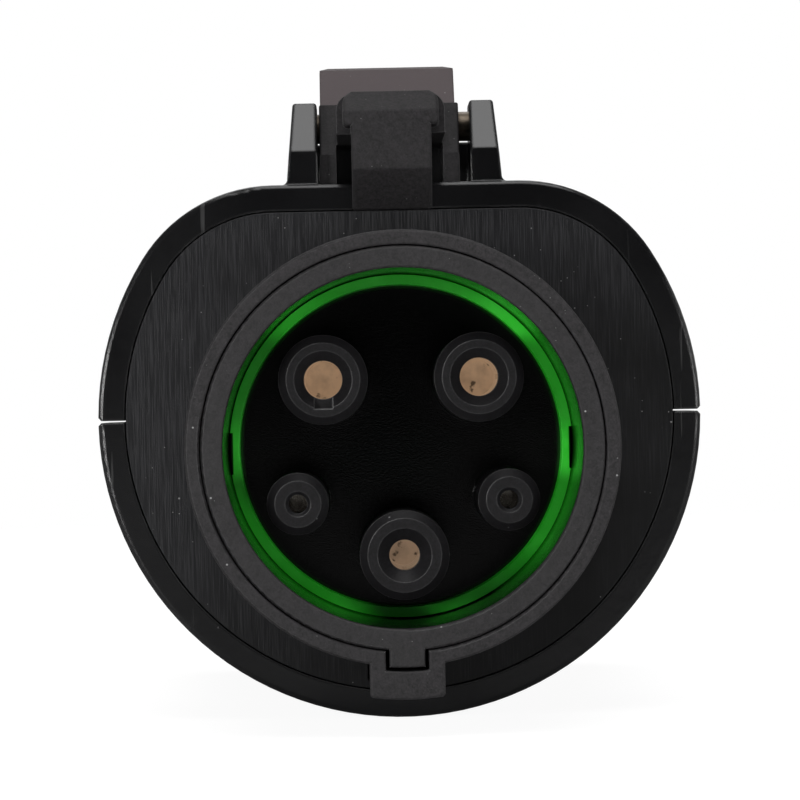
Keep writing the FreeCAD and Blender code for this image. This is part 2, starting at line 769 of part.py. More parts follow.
def build_upper_shell():
    body = new_body("upper_shell")
    shell_blank(body)
    hollow(body)
    boss = plan_sketch(body, "bosses", centre)
    for x, depth in screw_places():
        draw_circle(boss, x, depth, S.boss_radius)
    pad(body, "boss_pad", boss, S.screw_reach + S.boss_radius)
    grip_grooves(body)
    seam_notch(body)
    deck = front_sketch(body, "deck", waist_front)
    half = S.deck_width / 2
    draw_rectangle(deck, -half, inner_top, half, flat_top)
    pad(body, "deck_pad", deck, waist_rear - waist_front)
    pilot = plan_sketch(body, "pilots", centre)
    for x, depth in screw_places():
        draw_circle(pilot, x, depth, S.screw_radius)
    cut(body, "pilot_cut", pilot, S.screw_reach + PAST, upwards=True)
    add_ears(body)
    post = plan_sketch(body, "spring_post", flat_top - S.shell_wall / 2)
    draw_circle(post, -block_offset, spring_depth, S.spring_post_radius)
    pad(body, "spring_post_pad", post, S.shell_wall / 2 + S.spring_post_height)
    hole = plan_sketch(body, "plunger_hole", flat_top + PAST)
    draw_circle(hole, -block_offset, plunger_depth, S.plunger_radius + S.plunger_clearance)
    cut(body, "plunger_hole_cut", hole, cavity_inset + PAST * 2)
    finish_shell(body, keep_half(body, True))


def finish_shell(body, last):
    """Rounds the rims at both ends of the shell."""
    ends = (front.number, rear.number)

    def on_rim(point):
        return min(abs(point.y - end) for end in ends) < NEAR and abs(distance_inside(point)) < NEAR

    dress(body, "Fillet", "rims", last, edges_where(last, on_rim), S.rim_round)


def draw_key(sketch, half_width, top, reach):
    """A key seen from the front: upright sides, and a lower end on a circle about the nose axis."""
    corner = (reach * reach - half_width * half_width).root()
    left, right, bottom = -half_width.number, half_width.number, -corner.number
    turn = math.atan2(half_width.number, corner.number)
    ring = Part.Circle(Vector(0, 0, 0), Vector(0, 0, 1), reach.number)
    arc = sketch.addGeometry(Part.ArcOfCircle(ring, 1.5 * math.pi - turn, 1.5 * math.pi + turn), False)
    side = sketch.addGeometry(Part.LineSegment(Vector(right, bottom, 0), Vector(right, top.number, 0)),
                              False)
    across = sketch.addGeometry(Part.LineSegment(Vector(right, top.number, 0),
                                                 Vector(left, top.number, 0)), False)
    back = sketch.addGeometry(Part.LineSegment(Vector(left, top.number, 0), Vector(left, bottom, 0)),
                              False)
    for first, second in ((arc, side), (side, across), (across, back), (back, arc)):
        sketch.addConstraint(Sketcher.Constraint("Coincident", first, 2, second, 1))
    sketch.addConstraint(Sketcher.Constraint("Coincident", arc, 3, -1, 1))
    hold(sketch, "Radius", arc, size=reach)
    sketch.addConstraint(Sketcher.Constraint("Vertical", side))
    sketch.addConstraint(Sketcher.Constraint("Vertical", back))
    hold_point(sketch, across, 1, half_width, top)
    hold_point(sketch, across, 2, -half_width, top)


def build_faceplate():
    """The D-shaped plate between the shells' rim and the nose, notched for the sleeve's tab."""
    body = new_body("faceplate")
    sketch = front_sketch(body, "outline", front)
    draw_housing_outline(sketch, S.shell_wall + S.fit_gap)
    pad(body, "plate", sketch, S.plate_thickness)
    hole = front_sketch(body, "nose_hole", front)
    draw_circle(hole, ZERO, ZERO, S.sleeve_radius + S.fit_gap)
    cut(body, "nose_hole_cut", hole)
    notch = front_sketch(body, "tab_notch", front)
    draw_key(notch, S.tab_width / 2 + S.fit_gap, -(S.sleeve_radius - PAST), tab_reach + S.fit_gap)
    cut(body, "tab_notch_cut", notch)


def on_front(point):
    """True on the nose's front plane."""
    return abs(point.y) < NEAR


def build_nose_sleeve():
    """The nose's outer tube with its key tab, on a flange trapped behind the faceplate."""
    body = new_body("nose_sleeve")
    flange = front_sketch(body, "flange", flange_front)
    draw_housing_outline(flange, S.shell_wall + S.fit_gap)
    pad(body, "flange_pad", flange, S.flange_thickness)
    tube = front_sketch(body, "tube", ZERO)
    draw_circle(tube, ZERO, ZERO, S.sleeve_radius)
    pad(body, "tube_pad", tube, flange_front + S.flange_thickness / 2)
    tab = front_sketch(body, "tab", ZERO)
    draw_key(tab, S.tab_width / 2, -(S.sleeve_radius - PAST), tab_reach)
    pad(body, "tab_pad", tab, flange_front + S.flange_thickness / 2)
    bore = front_sketch(body, "bore", -PAST)
    draw_circle(bore, ZERO, ZERO, sleeve_bore)
    cut(body, "bore_cut", bore)
    slot = front_sketch(body, "key_slot", -PAST)
    slot_reach = key_reach + S.key_gap
    draw_key(slot, S.key_width / 2 + S.key_gap, -(sleeve_bore - PAST), slot_reach)
    last = cut(body, "key_slot_cut", slot)
    corner = (tab_reach * tab_reach - S.tab_width * S.tab_width / 4).root().number

    def on_corner(point):
        return (abs(abs(point.x) - S.tab_width.number / 2) < NEAR and abs(point.z + corner) < NEAR
                and point.y < flange_front.number + NEAR)

    last = dress(body, "Fillet", "tab_corners", last, edges_where(last, on_corner), S.tab_round)
    dress(body, "Fillet", "front_round", last, edges_where(last, on_front), S.sleeve_round)


def build_nose_shroud():
    """The nose's inner ring with the key that fills the sleeve's slot."""
    body = new_body("nose_shroud")
    tube = front_sketch(body, "tube", ZERO)
    draw_circle(tube, ZERO, ZERO, sleeve_bore - S.shroud_gap)
    pad(body, "tube_pad", tube, shroud_flange + S.shroud_flange_thickness / 2)
    flange = front_sketch(body, "flange", shroud_flange)
    draw_circle(flange, ZERO, ZERO, shroud_flange_radius)
    pad(body, "flange_pad", flange, S.shroud_flange_thickness)
    key = front_sketch(body, "key", ZERO)
    draw_key(key, S.key_width / 2, -(shroud_bore + PAST), key_reach)
    pad(body, "key_pad", key, shroud_flange + S.shroud_flange_thickness / 2)
    bore = front_sketch(body, "bore", -PAST)
    draw_circle(bore, ZERO, ZERO, shroud_bore)
    last = cut(body, "bore_cut", bore)
    dress(body, "Fillet", "front_round", last, edges_where(last, on_front), S.sleeve_round)


class Pole:
    """One of the five circuits: where it sits at both ends, and its contact, tower, pin and wire."""

    def __init__(self, name, nose_at, inlet_at, kind):
        self.name = name
        self.x, self.z = nose_at
        self.inlet_x, self.inlet_z = inlet_at
        signal = kind == "signal"
        self.tower = S.signal_tower_radius if signal else S.power_tower_radius
        self.contact = getattr(S, kind + "_contact_radius")
        self.bore = getattr(S, kind + "_bore")
        self.flare = getattr(S, kind + "_flare")
        self.pin = S.signal_pin_radius if signal else S.power_pin_radius
        self.collar = S.signal_collar_radius if signal else S.power_collar_radius
        self.socket = S.signal_socket_radius if signal else S.socket_radius
        self.tail = S.signal_tail_radius if signal else S.power_tail_radius
        self.wire = S.signal_wire_radius if signal else S.wire_radius
        self.bend = S.signal_wire_bend if signal else S.wire_bend
        self.signal = signal


POLES = [
    Pole("l1", (-S.power_x, S.power_z), (-inlet_pitch, centre), "power"),
    Pole("n", (S.power_x, S.power_z), (inlet_pitch, centre), "power"),
    Pole("pe", (ZERO, S.earth_z), (ZERO, centre), "earth"),
    Pole("cp", (-S.signal_x, S.signal_z), (-S.inlet_signal_x, centre + inlet_signal_rise), "signal"),
    Pole("pp", (S.signal_x, S.signal_z), (S.inlet_signal_x, centre + inlet_signal_rise), "signal"),
]
contact_front = S.tower_front + S.contact_setback
contact_run = carrier_rear - contact_front


def build_contact_carrier():
    """The cavity's floor and its five towers, with a flange that the shells' rib holds."""
    body = new_body("contact_carrier")
    plug_radius = shroud_bore - S.fit_gap
    floor = front_sketch(body, "floor", S.cavity_depth)
    draw_circle(floor, ZERO, ZERO, plug_radius)
    pad(body, "floor_pad", floor, carrier_rear - S.cavity_depth)
    flange = front_sketch(body, "flange", carrier_flange)
    draw_circle(flange, ZERO, ZERO, shroud_flange_radius)
    pad(body, "flange_pad", flange, S.carrier_flange_thickness)
    towers = front_sketch(body, "towers", S.tower_front)
    for pole in POLES:
        draw_circle(towers, pole.x, pole.z, pole.tower)
    last = pad(body, "tower_pad", towers, S.cavity_depth - S.tower_front + PAST)
    rims = edges_where(last, lambda point: abs(point.y - S.tower_front.number) < NEAR)
    dress(body, "Chamfer", "tower_bevels", last, rims, S.tower_bevel)
    seats = front_sketch(body, "contact_seats", contact_front)
    for pole in POLES:
        draw_circle(seats, pole.x, pole.z, pole.contact)
    cut(body, "contact_seat_cut", seats)
    mouths = front_sketch(body, "mouths", S.tower_front - PAST)
    for pole in POLES:
        draw_circle(mouths, pole.x, pole.z, pole.bore)
    cut(body, "mouth_cut", mouths, S.contact_setback + PAST)
    first = POLES[0]
    notch = front_sketch(body, "mouth_notch", S.tower_front - PAST)
    draw_rectangle(notch, first.x - S.mouth_notch_width / 2, first.z - first.bore - first.flare,
                   first.x + S.mouth_notch_width / 2, first.z - first.bore / 2)
    last = cut(body, "mouth_notch_cut", notch, first.flare + PAST)
    for kind in ("power", "earth", "signal"):
        radius = getattr(S, kind + "_bore").number
        spots = [pole for pole in POLES if abs(pole.bore.number - radius) < NEAR]

        def on_mouth(point):
            lip = min(abs(math.hypot(point.x - pole.x.number, point.z - pole.z.number) - radius)
                      for pole in spots)
            return lip < NEAR and abs(point.y - S.tower_front.number) < NEAR

        last = dress(body, "Chamfer", kind + "_flares", last, edges_where(last, on_mouth),
                     getattr(S, kind + "_flare"))


def build_contact(pole):
    """A turned socket contact with a blind bore, crossed slots in its mouth and a solder tail.

    The thin signal contacts have one slot across in place of two.
    """
    far = contact_run + S.contact_tail_length
    body = turned_piece("socket_contact_" + pole.name, pole.x, contact_front, pole.z, [
        (ZERO, pole.bore), (ZERO, pole.contact), (contact_run, pole.contact), (contact_run, pole.tail),
        (far, pole.tail), (far, ZERO), (S.contact_bore_depth, ZERO), (S.contact_bore_depth, pole.bore)])
    half = S.contact_slot_width / 2
    reach = pole.contact + PAST
    slots = [("upright_slot", half, reach), ("level_slot", reach, half)]
    if pole.signal:
        slots.pop()
    for name, wide, tall in slots:
        sketch = front_sketch(body, name, -PAST)
        draw_rectangle(sketch, -wide, -tall, wide, tall)
        cut(body, name + "_cut", sketch, S.contact_slot_length + PAST)


def build_contact_retainer():
    """The disc that keeps the contacts from being pushed back, inside the shells' rib."""
    body = new_body("contact_retainer")
    disc = front_sketch(body, "disc", carrier_rear)
    draw_circle(disc, ZERO, ZERO, sleeve_bore - S.shroud_gap)
    pad(body, "disc_pad", disc, S.retainer_thickness)
    holes = front_sketch(body, "tail_holes", carrier_rear)
    for pole in POLES:
        draw_circle(holes, pole.x, pole.z, pole.tail + S.fit_gap)
    cut(body, "tail_hole_cut", holes)


def build_seal_ring():
    """The green ring in the cavity's rear corner, notched at both sides to locate it."""
    body = new_body("seal_ring")
    ring = front_sketch(body, "ring", S.seal_front)
    draw_circle(ring, ZERO, ZERO, shroud_bore - S.fit_gap)
    draw_circle(ring, ZERO, ZERO, shroud_bore - S.fit_gap - S.seal_width)
    pad(body, "ring_pad", ring, S.cavity_depth - S.seal_front)
    notches = front_sketch(body, "notches", S.seal_front)
    edge = shroud_bore - S.fit_gap
    low = -S.seal_notch_drop - S.seal_notch_height / 2
    for side in (-1, 1):
        near = side * (edge - S.seal_notch_depth)
        far = side * (edge + PAST)
        draw_rectangle(notches, near, low, far, low + S.seal_notch_height)
    cut(body, "notch_cut", notches)


def build_inlet_body():
    """The inlet's moulding: a rim, a D-shaped channel and an island with seven sockets."""
    body = new_body("inlet_body")
    groove_front = rear_rib - S.fit_gap
    groove_rear = rear_rib + S.rib_thickness + S.fit_gap
    steps = (("nose_part", inlet_front, groove_front, cavity_inset + S.fit_gap),
             ("neck", groove_front, groove_rear, cavity_inset + S.rib_height + S.fit_gap),
             ("shoulder", groove_rear, inlet_step + S.fit_gap, cavity_inset + S.fit_gap),
             ("head", inlet_step + S.fit_gap, rear - S.fit_gap * 2, S.shell_wall + S.fit_gap))
    for name, start, end, inset in steps:
        sketch = front_sketch(body, name, start)
        draw_housing_outline(sketch, inset)
        pad(body, name + "_pad", sketch, end - start)
    channel = front_sketch(body, "channel", inlet_floor)
    draw_housing_outline(channel, channel_inset)
    draw_housing_outline(channel, island_inset)
    cut(body, "channel_cut", channel, S.inlet_depth + PAST)
    sockets = front_sketch(body, "sockets", inlet_floor)
    for pole in POLES:
        draw_circle(sockets, pole.inlet_x, pole.inlet_z, pole.socket)
    for side in (-1, 1):
        lower = centre - inlet_pitch * as_size(3).root() / 2
        draw_circle(sockets, side * inlet_pitch / 2, lower, S.socket_radius)
    cut(body, "socket_cut", sockets, S.inlet_depth + PAST)
    holes = front_sketch(body, "pin_holes", inlet_front)
    for pole in POLES:
        draw_circle(holes, pole.inlet_x, pole.inlet_z, pole.collar + S.press_gap)
    cut(body, "pin_hole_cut", holes)


def build_inlet_pin(pole):
    """A turned pin with a bevelled tip, a collar pressed into the moulding and a solder tail."""
    end = S.pin_tail_length + inlet_length - S.pin_setback
    collar_end = S.pin_tail_length + inlet_length - S.inlet_depth
    start = inlet_front - S.pin_tail_length
    bevel = S.pin_tip_bevel * (pole.pin / S.power_pin_radius)
    turned_piece("inlet_pin_" + pole.name, pole.inlet_x, start, pole.inlet_z, [
        (ZERO, ZERO), (ZERO, pole.tail), (S.pin_tail_length, pole.tail),
        (S.pin_tail_length, pole.collar), (collar_end, pole.collar), (collar_end, pole.pin),
        (end - bevel, pole.pin), (end, pole.pin - bevel), (end, ZERO)])


def build_pin_retainer():
    """The plate behind the inlet that bears on the pins' shoulders."""
    body = new_body("pin_retainer")
    plate = front_sketch(body, "plate", inlet_front - S.retainer_thickness)
    draw_housing_outline(plate, cavity_inset + S.fit_gap)
    pad(body, "plate_pad", plate, S.retainer_thickness)
    holes = front_sketch(body, "tail_holes", inlet_front - S.retainer_thickness)
    for pole in POLES:
        draw_circle(holes, pole.inlet_x, pole.inlet_z, pole.tail + S.fit_gap)
    cut(body, "tail_hole_cut", holes)


def draw_round_top(sketch, left, bottom, right, top, radius):
    """A rectangle whose two upper corners are arcs."""
    up = Vector(0, 0, 1)
    low = bottom.number
    high = top.number
    r = radius.number
    x0, x1 = left.number, right.number
    corner_right = Part.Circle(Vector(x1 - r, high - r, 0), up, r)
    corner_left = Part.Circle(Vector(x0 + r, high - r, 0), up, r)
    base = sketch.addGeometry(Part.LineSegment(Vector(x0, low, 0), Vector(x1, low, 0)), False)
    wall_right = sketch.addGeometry(Part.LineSegment(Vector(x1, low, 0), Vector(x1, high - r, 0)), False)
    arc_right = sketch.addGeometry(Part.ArcOfCircle(corner_right, 0, math.pi / 2), False)
    lid = sketch.addGeometry(Part.LineSegment(Vector(x1 - r, high, 0), Vector(x0 + r, high, 0)), False)
    arc_left = sketch.addGeometry(Part.ArcOfCircle(corner_left, math.pi / 2, math.pi), False)
    wall_left = sketch.addGeometry(Part.LineSegment(Vector(x0, high - r, 0), Vector(x0, low, 0)), False)
    sketch.addConstraint(Sketcher.Constraint("Coincident", base, 2, wall_right, 1))
    sketch.addConstraint(Sketcher.Constraint("Tangent", wall_right, 2, arc_right, 1))
    sketch.addConstraint(Sketcher.Constraint("Tangent", arc_right, 2, lid, 1))
    sketch.addConstraint(Sketcher.Constraint("Tangent", lid, 2, arc_left, 1))
    sketch.addConstraint(Sketcher.Constraint("Tangent", arc_left, 2, wall_left, 1))
    sketch.addConstraint(Sketcher.Constraint("Coincident", wall_left, 2, base, 1))
    sketch.addConstraint(Sketcher.Constraint("Vertical", wall_right))
    sketch.addConstraint(Sketcher.Constraint("Vertical", wall_left))
    sketch.addConstraint(Sketcher.Constraint("Horizontal", lid))
    hold_point(sketch, base, 1, left, bottom)
    hold_point(sketch, base, 2, right, bottom)
    hold(sketch, "Radius", arc_right, size=radius)
    hold(sketch, "Radius", arc_left, size=radius)
    hold(sketch, "DistanceY", -1, 1, lid, 1, size=top)


arm_top = flat_top + S.arm_top
block_top = flat_top + S.block_top
leg_bottom = flat_top + S.leg_clearance
hook_rear = S.hook_front + S.hook_length
hook_tip = S.sleeve_radius + S.hook_tip_rise
pad_front_top = flat_top + S.pad_rise
ceiling = pad_front_top - S.pad_skin
neck_bottom = flat_top + S.neck_rise


def build_latch_lever():
    """One moulding: the pivot block, a channel-shaped arm with the hook, and the thumb pad behind."""
    body = new_body("latch_lever")
    middle = -block_offset
    block_ridge = [(block_front, flat_top + S.block_break), (block_front + S.block_slope_run, block_top),
                   (block_rear, block_top)]
    pad_ridge = [(pad_front, block_top), (pad_front + S.pad_riser_run, pad_front_top),
                 (pad_crown_depth, flat_top + S.pad_crown),
                 (pad_rear - S.pad_brow, flat_top + S.pad_crown - S.pad_brow / 2),
                 (pad_rear, flat_top + S.pad_crown - S.pad_brow * 1.5)]
    block = side_sketch(body, "block", middle)
    draw_polygon(block, [(block_rear, flat_top + S.block_rear_rise), (pivot_depth, leg_bottom),
                         (block_front, leg_bottom)] + block_ridge)
    pad(body, "block_pad", block, block_width, both_sides=True)
    tail = side_sketch(body, "tail", middle)
    tail_start = block_rear - PAST * 2
    draw_polygon(tail, [(pad_rear, flat_top + S.skirt_rear), (pad_front, neck_bottom),
                        (tail_start, neck_bottom), (tail_start, block_top)] + pad_ridge)
    pad(body, "tail_pad", tail, block_width, both_sides=True)
    arm = front_sketch(body, "arm", S.arm_front)
    half = S.arm_width / 2
    draw_round_top(arm, middle - half, arm_top - S.arm_height, middle + half, arm_top, S.arm_round)
    pad(body, "arm_pad", arm, block_front + S.block_slope_run - S.arm_front)
    stem = side_sketch(body, "hook_stem", middle)
    brow = arm_top - S.hook_brow_drop
    ramp_top = hook_tip + S.hook_ramp_rise
    draw_polygon(stem, [(S.hook_front, ramp_top), (S.hook_front + S.hook_ramp_run, hook_tip),
                        (hook_rear, hook_tip), (hook_rear, arm_top),
                        (S.hook_front + S.hook_brow_run, arm_top), (S.hook_front, brow)])
    pad(body, "hook_stem_pad", stem, S.hook_width, both_sides=True)
    head = front_sketch(body, "hook_head", S.hook_front)
    head_half = S.hook_head_width / 2
    draw_round_top(head, middle - head_half, arm_top - S.hook_lobe_drop, middle + head_half, arm_top,
                   S.hook_round)
    pad(body, "hook_head_pad", head, S.hook_length)
    slope = side_sketch(body, "hook_brow", middle)
    above = arm_top + S.hook_brow_drop
    draw_polygon(slope, [(S.hook_front - S.hook_brow_run, brow - S.hook_brow_drop),
                         (S.hook_front + S.hook_brow_run * 2, above),
                         (S.hook_front - S.hook_brow_run, above)])
    last = cut(body, "hook_brow_cut", slope, S.hook_head_width * 2, both_sides=True)

    def on_lobe(point):
        side = abs(point.x - middle.number)
        low = arm_top.number - S.hook_lobe_drop.number
        return abs(side - head_half.number) < NEAR and abs(point.z - low) < NEAR

    last = dress(body, "Fillet", "lobe_rounds", last, edges_where(last, on_lobe), S.hook_lobe_round)
    stem_half = S.hook_width / 2

    def on_hook_front(point):
        """On the outline of the hook's front, the sides of its ramp, its tip or the sides of its brow."""
        behind = point.y - S.hook_front.number
        side = abs(point.x - middle.number)
        on_stem = abs(side - stem_half.number) < NEAR
        ahead_of_rear = point.y < hook_rear.number - NEAR
        if point.z < hook_tip.number + NEAR:
            return ahead_of_rear or on_stem
        if on_stem and point.z < ramp_top.number + NEAR:
            return ahead_of_rear
        climb = (point.z - brow.number) * S.hook_brow_run.number
        on_brow = abs(climb - behind * S.hook_brow_drop.number) < NEAR
        return behind < NEAR or on_brow and abs(side - head_half.number) < NEAR

    dress(body, "Fillet", "hook_rounds", last, edges_where(last, on_hook_front), S.hook_edge_round)
    channel = front_sketch(body, "arm_channel", hook_rear)
    inner = half - S.arm_wall
    draw_rectangle(channel, middle - inner, arm_top - S.arm_height - PAST, middle + inner,
                   arm_top - S.arm_round)
    cut(body, "arm_channel_cut", channel, block_front + S.arm_wall - hook_rear)
    legs = front_sketch(body, "leg_gap", block_front - PAST)
    gap = S.block_leg_gap / 2
    draw_rectangle(legs, middle - gap, flat_top - PAST, middle + gap,
                   pivot_height - S.pin_radius - S.pin_clearance - S.pin_inset)
    cut(body, "leg_gap_cut", legs, block_rear - block_front + PAST * 2)
    hollow_under = side_sketch(body, "pad_hollow", middle)
    back = pad_rear - S.pad_brow - S.pad_skin / 3
    draw_polygon(hollow_under, [(pad_front + S.pad_skin, flat_top), (back, flat_top), (back, ceiling),
                                (pad_ceiling_front, ceiling), (pad_front + S.pad_skin, neck_bottom)])
    cut(body, "pad_hollow_cut", hollow_under, block_width - S.skirt_wall * 2, both_sides=True)
    taper = plan_sketch(body, "pad_taper", flat_top)
    edge = block_width / 2
    for side in (-1, 1):
        wall = middle + side * edge
        out = middle + side * (edge + PAST)
        tip = middle + side * (edge - S.pad_taper)
        draw_polygon(taper, [(wall, pad_front + S.pad_riser_run), (out, pad_front + S.pad_riser_run),
                             (out, pad_rear + PAST), (tip, pad_rear + PAST),
                             (tip, pad_crown_depth)])
    cut(body, "pad_taper_cut", taper, body_radius, upwards=True)
    bore = side_sketch(body, "pin_bore", middle)
    draw_circle(bore, pivot_depth, pivot_height, S.pin_radius + S.pin_clearance)
    last = cut(body, "pin_bore_cut", bore, body_radius, both_sides=True)
    ridge = [(depth.number, height.number) for depth, height in block_ridge + pad_ridge[:2]]

    def on_ridge(point):
        if abs(abs(point.x - middle.number) - edge.number) > NEAR:
            return False
        for (y0, z0), (y1, z1) in zip(ridge, ridge[1:]):
            share = (point.y - y0) / (y1 - y0)
            if -NEAR < share < 1 + NEAR and abs(point.z - z0 - share * (z1 - z0)) < NEAR:
                return True
        return False

    dress(body, "Fillet", "ridge_rounds", last, edges_where(last, on_ridge), S.lever_round)


def cylinder(name, radius, length, x, depth, height, along="up"):
    """A plain cylinder that starts at the given place and runs up, or to the right."""
    item = doc.addObject("Part::Cylinder", name)
    item.setExpression("Radius", as_size(radius).text)
    item.setExpression("Height", as_size(length).text)
    if along == "right":
        item.Placement.Rotation = FreeCAD.Rotation(Vector(0, 1, 0), 90)
    place(item, x, depth, height)
    return item


def keep(item, name):
    item.Label = name
    pieces.append(item)
    return item


def build_latch_pin():
    half = S.ear_gap / 2 + S.ear_width - S.ear_lean - S.pin_inset
    pin = cylinder("latch_pin", S.pin_radius, half * 2, -half, pivot_depth, pivot_height, "right")
    keep(pin, "latch_pin")


def build_latch_spring():
    """A compression spring between the shell's post and the thumb pad."""
    body = new_body("latch_spring", -block_offset, spring_depth, flat_top + S.spring_wire / 2)
    wire = front_sketch(body, "wire", ZERO)
    draw_circle(wire, S.spring_radius, ZERO, S.spring_wire / 2)
    coil = body.newObject("PartDesign::AdditiveHelix", "latch_spring_coil")
    coil.Profile = wire
    coil.ReferenceAxis = (wire, ["V_Axis"])
    coil.Mode = "height-turns-angle"
    coil.setExpression("Height", (ceiling - flat_top - S.spring_wire - S.fit_gap).text)
    coil.setExpression("Turns", S.spring_turns.text)


def build_switch():
    """The release switch under the shell's top, and the plunger that the lever pushes."""
    plunger_top = neck_bottom - S.fit_gap * 2
    depth_inside = S.retainer_thickness
    plunger_foot = inner_top - depth_inside
    plunger = cylinder("switch_plunger", S.plunger_radius, plunger_top - plunger_foot,
                       -block_offset, plunger_depth, plunger_foot)
    keep(plunger, "switch_plunger")
    body = new_body("release_switch")
    case = plan_sketch(body, "case", inner_top - S.switch_height)
    half_width = S.switch_width / 2
    half_length = S.switch_length / 2
    draw_rectangle(case, -block_offset - half_width, plunger_depth - half_length,
                   -block_offset + half_width, plunger_depth + half_length)
    pad(body, "case_pad", case, S.switch_height)
    well = plan_sketch(body, "well", inner_top)
    draw_circle(well, -block_offset, plunger_depth, S.plunger_radius + S.plunger_clearance)
    cut(body, "well_cut", well, depth_inside + S.plunger_travel + S.fit_gap * 2)


def screw_group(name, spots, head_radius, head_height, radius, reach, height, up):
    """Identical screws as one group, each a head and a shank fused into one solid."""
    screws = []
    for number, (x, depth) in enumerate(spots, start=1):
        stem = "%s_%d" % (name, number)
        if up:
            head = cylinder(stem + "_head", head_radius, head_height, x, depth, height - head_height)
            shank = cylinder(stem + "_shank", radius, reach, x, depth, height)
        else:
            head = cylinder(stem + "_head", head_radius, head_height, x, depth, height)
            shank = cylinder(stem + "_shank", radius, reach, x, depth, height - reach)
        screw = doc.addObject("Part::Fuse", stem)
        screw.Base = head
        screw.Tool = shank
        screws.append(screw)
    group = doc.addObject("Part::Compound", name)
    group.Links = screws
    keep(group, name)


def build_board():
    """The small board on the lower shell's posts, and its two screws."""
    body = new_body("circuit_board")
    height = centre - body_radius + cavity_inset + S.board_post_height
    sheet_outline = plan_sketch(body, "outline", height)
    half = S.board_width / 2
    draw_rectangle(sheet_outline, -half, board_front, half, board_front + S.board_length)
    pad(body, "outline_pad", sheet_outline, S.board_thickness)
    holes = plan_sketch(body, "screw_holes", height + S.board_thickness)
    for depth in board_screw_depths():
        draw_circle(holes, ZERO, depth, S.board_screw_radius + S.fit_gap)
    cut(body, "screw_hole_cut", holes)
    spots = [(ZERO, depth) for depth in board_screw_depths()]
    screw_group("board_screws", spots, S.board_screw_radius * 2, S.board_screw_radius,
                S.board_screw_radius, S.board_thickness + S.board_screw_reach - S.fit_gap,
                height + S.board_thickness, False)


def build_wire(pole):
    """An insulated lead from contact tail to pin tail: three straight runs and two arcs in a plane."""
    begin = carrier_rear.number + S.contact_tail_length.number
    finish = inlet_front.number - S.pin_tail_length.number
    across = Vector(pole.inlet_x.number - pole.x.number, 0, pole.inlet_z.number - pole.z.number)
    offset = across.Length
    across.normalize()
    along = Vector(0, 1, 0)
    turn = math.radians(S.wire_slope_degrees.number)
    bend = pole.bend.number
    slope = (offset - 2 * bend * (1 - math.cos(turn))) / math.sin(turn)
    run = 2 * bend * math.sin(turn) + slope * math.cos(turn)
    lead = S.wire_lead.number
    if pole.signal:
        lead = finish - begin - run - lead
    origin = Vector(pole.x.number, begin, pole.z.number)

    def spot(sideways, forwards):
        return origin + across * sideways + along * forwards

    half = turn / 2
    first_end = spot(bend * (1 - math.cos(turn)), lead + bend * math.sin(turn))
    first_mid = spot(bend * (1 - math.cos(half)), lead + bend * math.sin(half))
    second_start = spot(offset - bend * (1 - math.cos(turn)), lead + run - bend * math.sin(turn))
    second_mid = spot(offset - bend * (1 - math.cos(half)), lead + run - bend * math.sin(half))
    edges = [
        Part.LineSegment(origin, spot(0, lead)).toShape(),
        Part.Arc(spot(0, lead), first_mid, first_end).toShape(),
        Part.LineSegment(first_end, second_start).toShape(),
        Part.Arc(second_start, second_mid, spot(offset, lead + run)).toShape(),
        Part.LineSegment(spot(offset, lead + run), spot(offset, finish - begin)).toShape(),
    ]
    section = Part.Wire(Part.Circle(origin, along, pole.wire.number).toShape())
    item = doc.addObject("Part::Feature", "wire_" + pole.name)
    item.Shape = Part.Wire(edges).makePipeShell([section], True, True)
    place(item)
    keep(item, "wire_" + pole.name)


def check_and_write():
    """Stops on any failed feature, empty cut or broken solid, then writes each piece."""
    doc.recompute()
    faults = []
    for item in doc.Objects:
        if "Invalid" in item.State or "Error" in item.State:
            faults.append("%s is %s" % (item.Name, item.State))
        if item.TypeId in ("PartDesign::Pocket", "PartDesign::Groove"):
            before = item.BaseFeature.Shape.Volume
            if item.Shape.Volume > before - 0.01:
                faults.append("%s takes nothing away" % item.Name)
    for piece in pieces:
        if piece.Shape.isNull() or not piece.Shape.isValid() or not piece.Shape.Solids:
            faults.append("%s has no sound shape" % piece.Label)
    if faults:
        raise RuntimeError("; ".join(faults))
    os.makedirs("parts", exist_ok=True)
    for piece in pieces:
        piece.Shape.exportStep("parts/%s.step" % piece.Label)
        print("%-22s solids %d  volume %.1f" % (piece.Label, len(piece.Shape.Solids), piece.Shape.Volume))


build_upper_shell()
build_lower_shell()
build_faceplate()
build_nose_sleeve()
build_nose_shroud()
build_contact_carrier()
build_contact_retainer()
build_seal_ring()
build_inlet_body()
build_pin_retainer()
for circuit in POLES:
    build_contact(circuit)
    build_inlet_pin(circuit)
    build_wire(circuit)
build_latch_lever()
build_latch_pin()
build_latch_spring()
build_switch()
build_board()
screw_group("shell_screws", screw_places(), S.screw_head_radius, S.screw_head_height, S.screw_radius,
            S.screw_seat_drop + S.screw_reach, centre - S.screw_seat_drop, True)
check_and_write()
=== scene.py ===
import math

import bpy
import numpy as np
from mathutils import Matrix, Vector


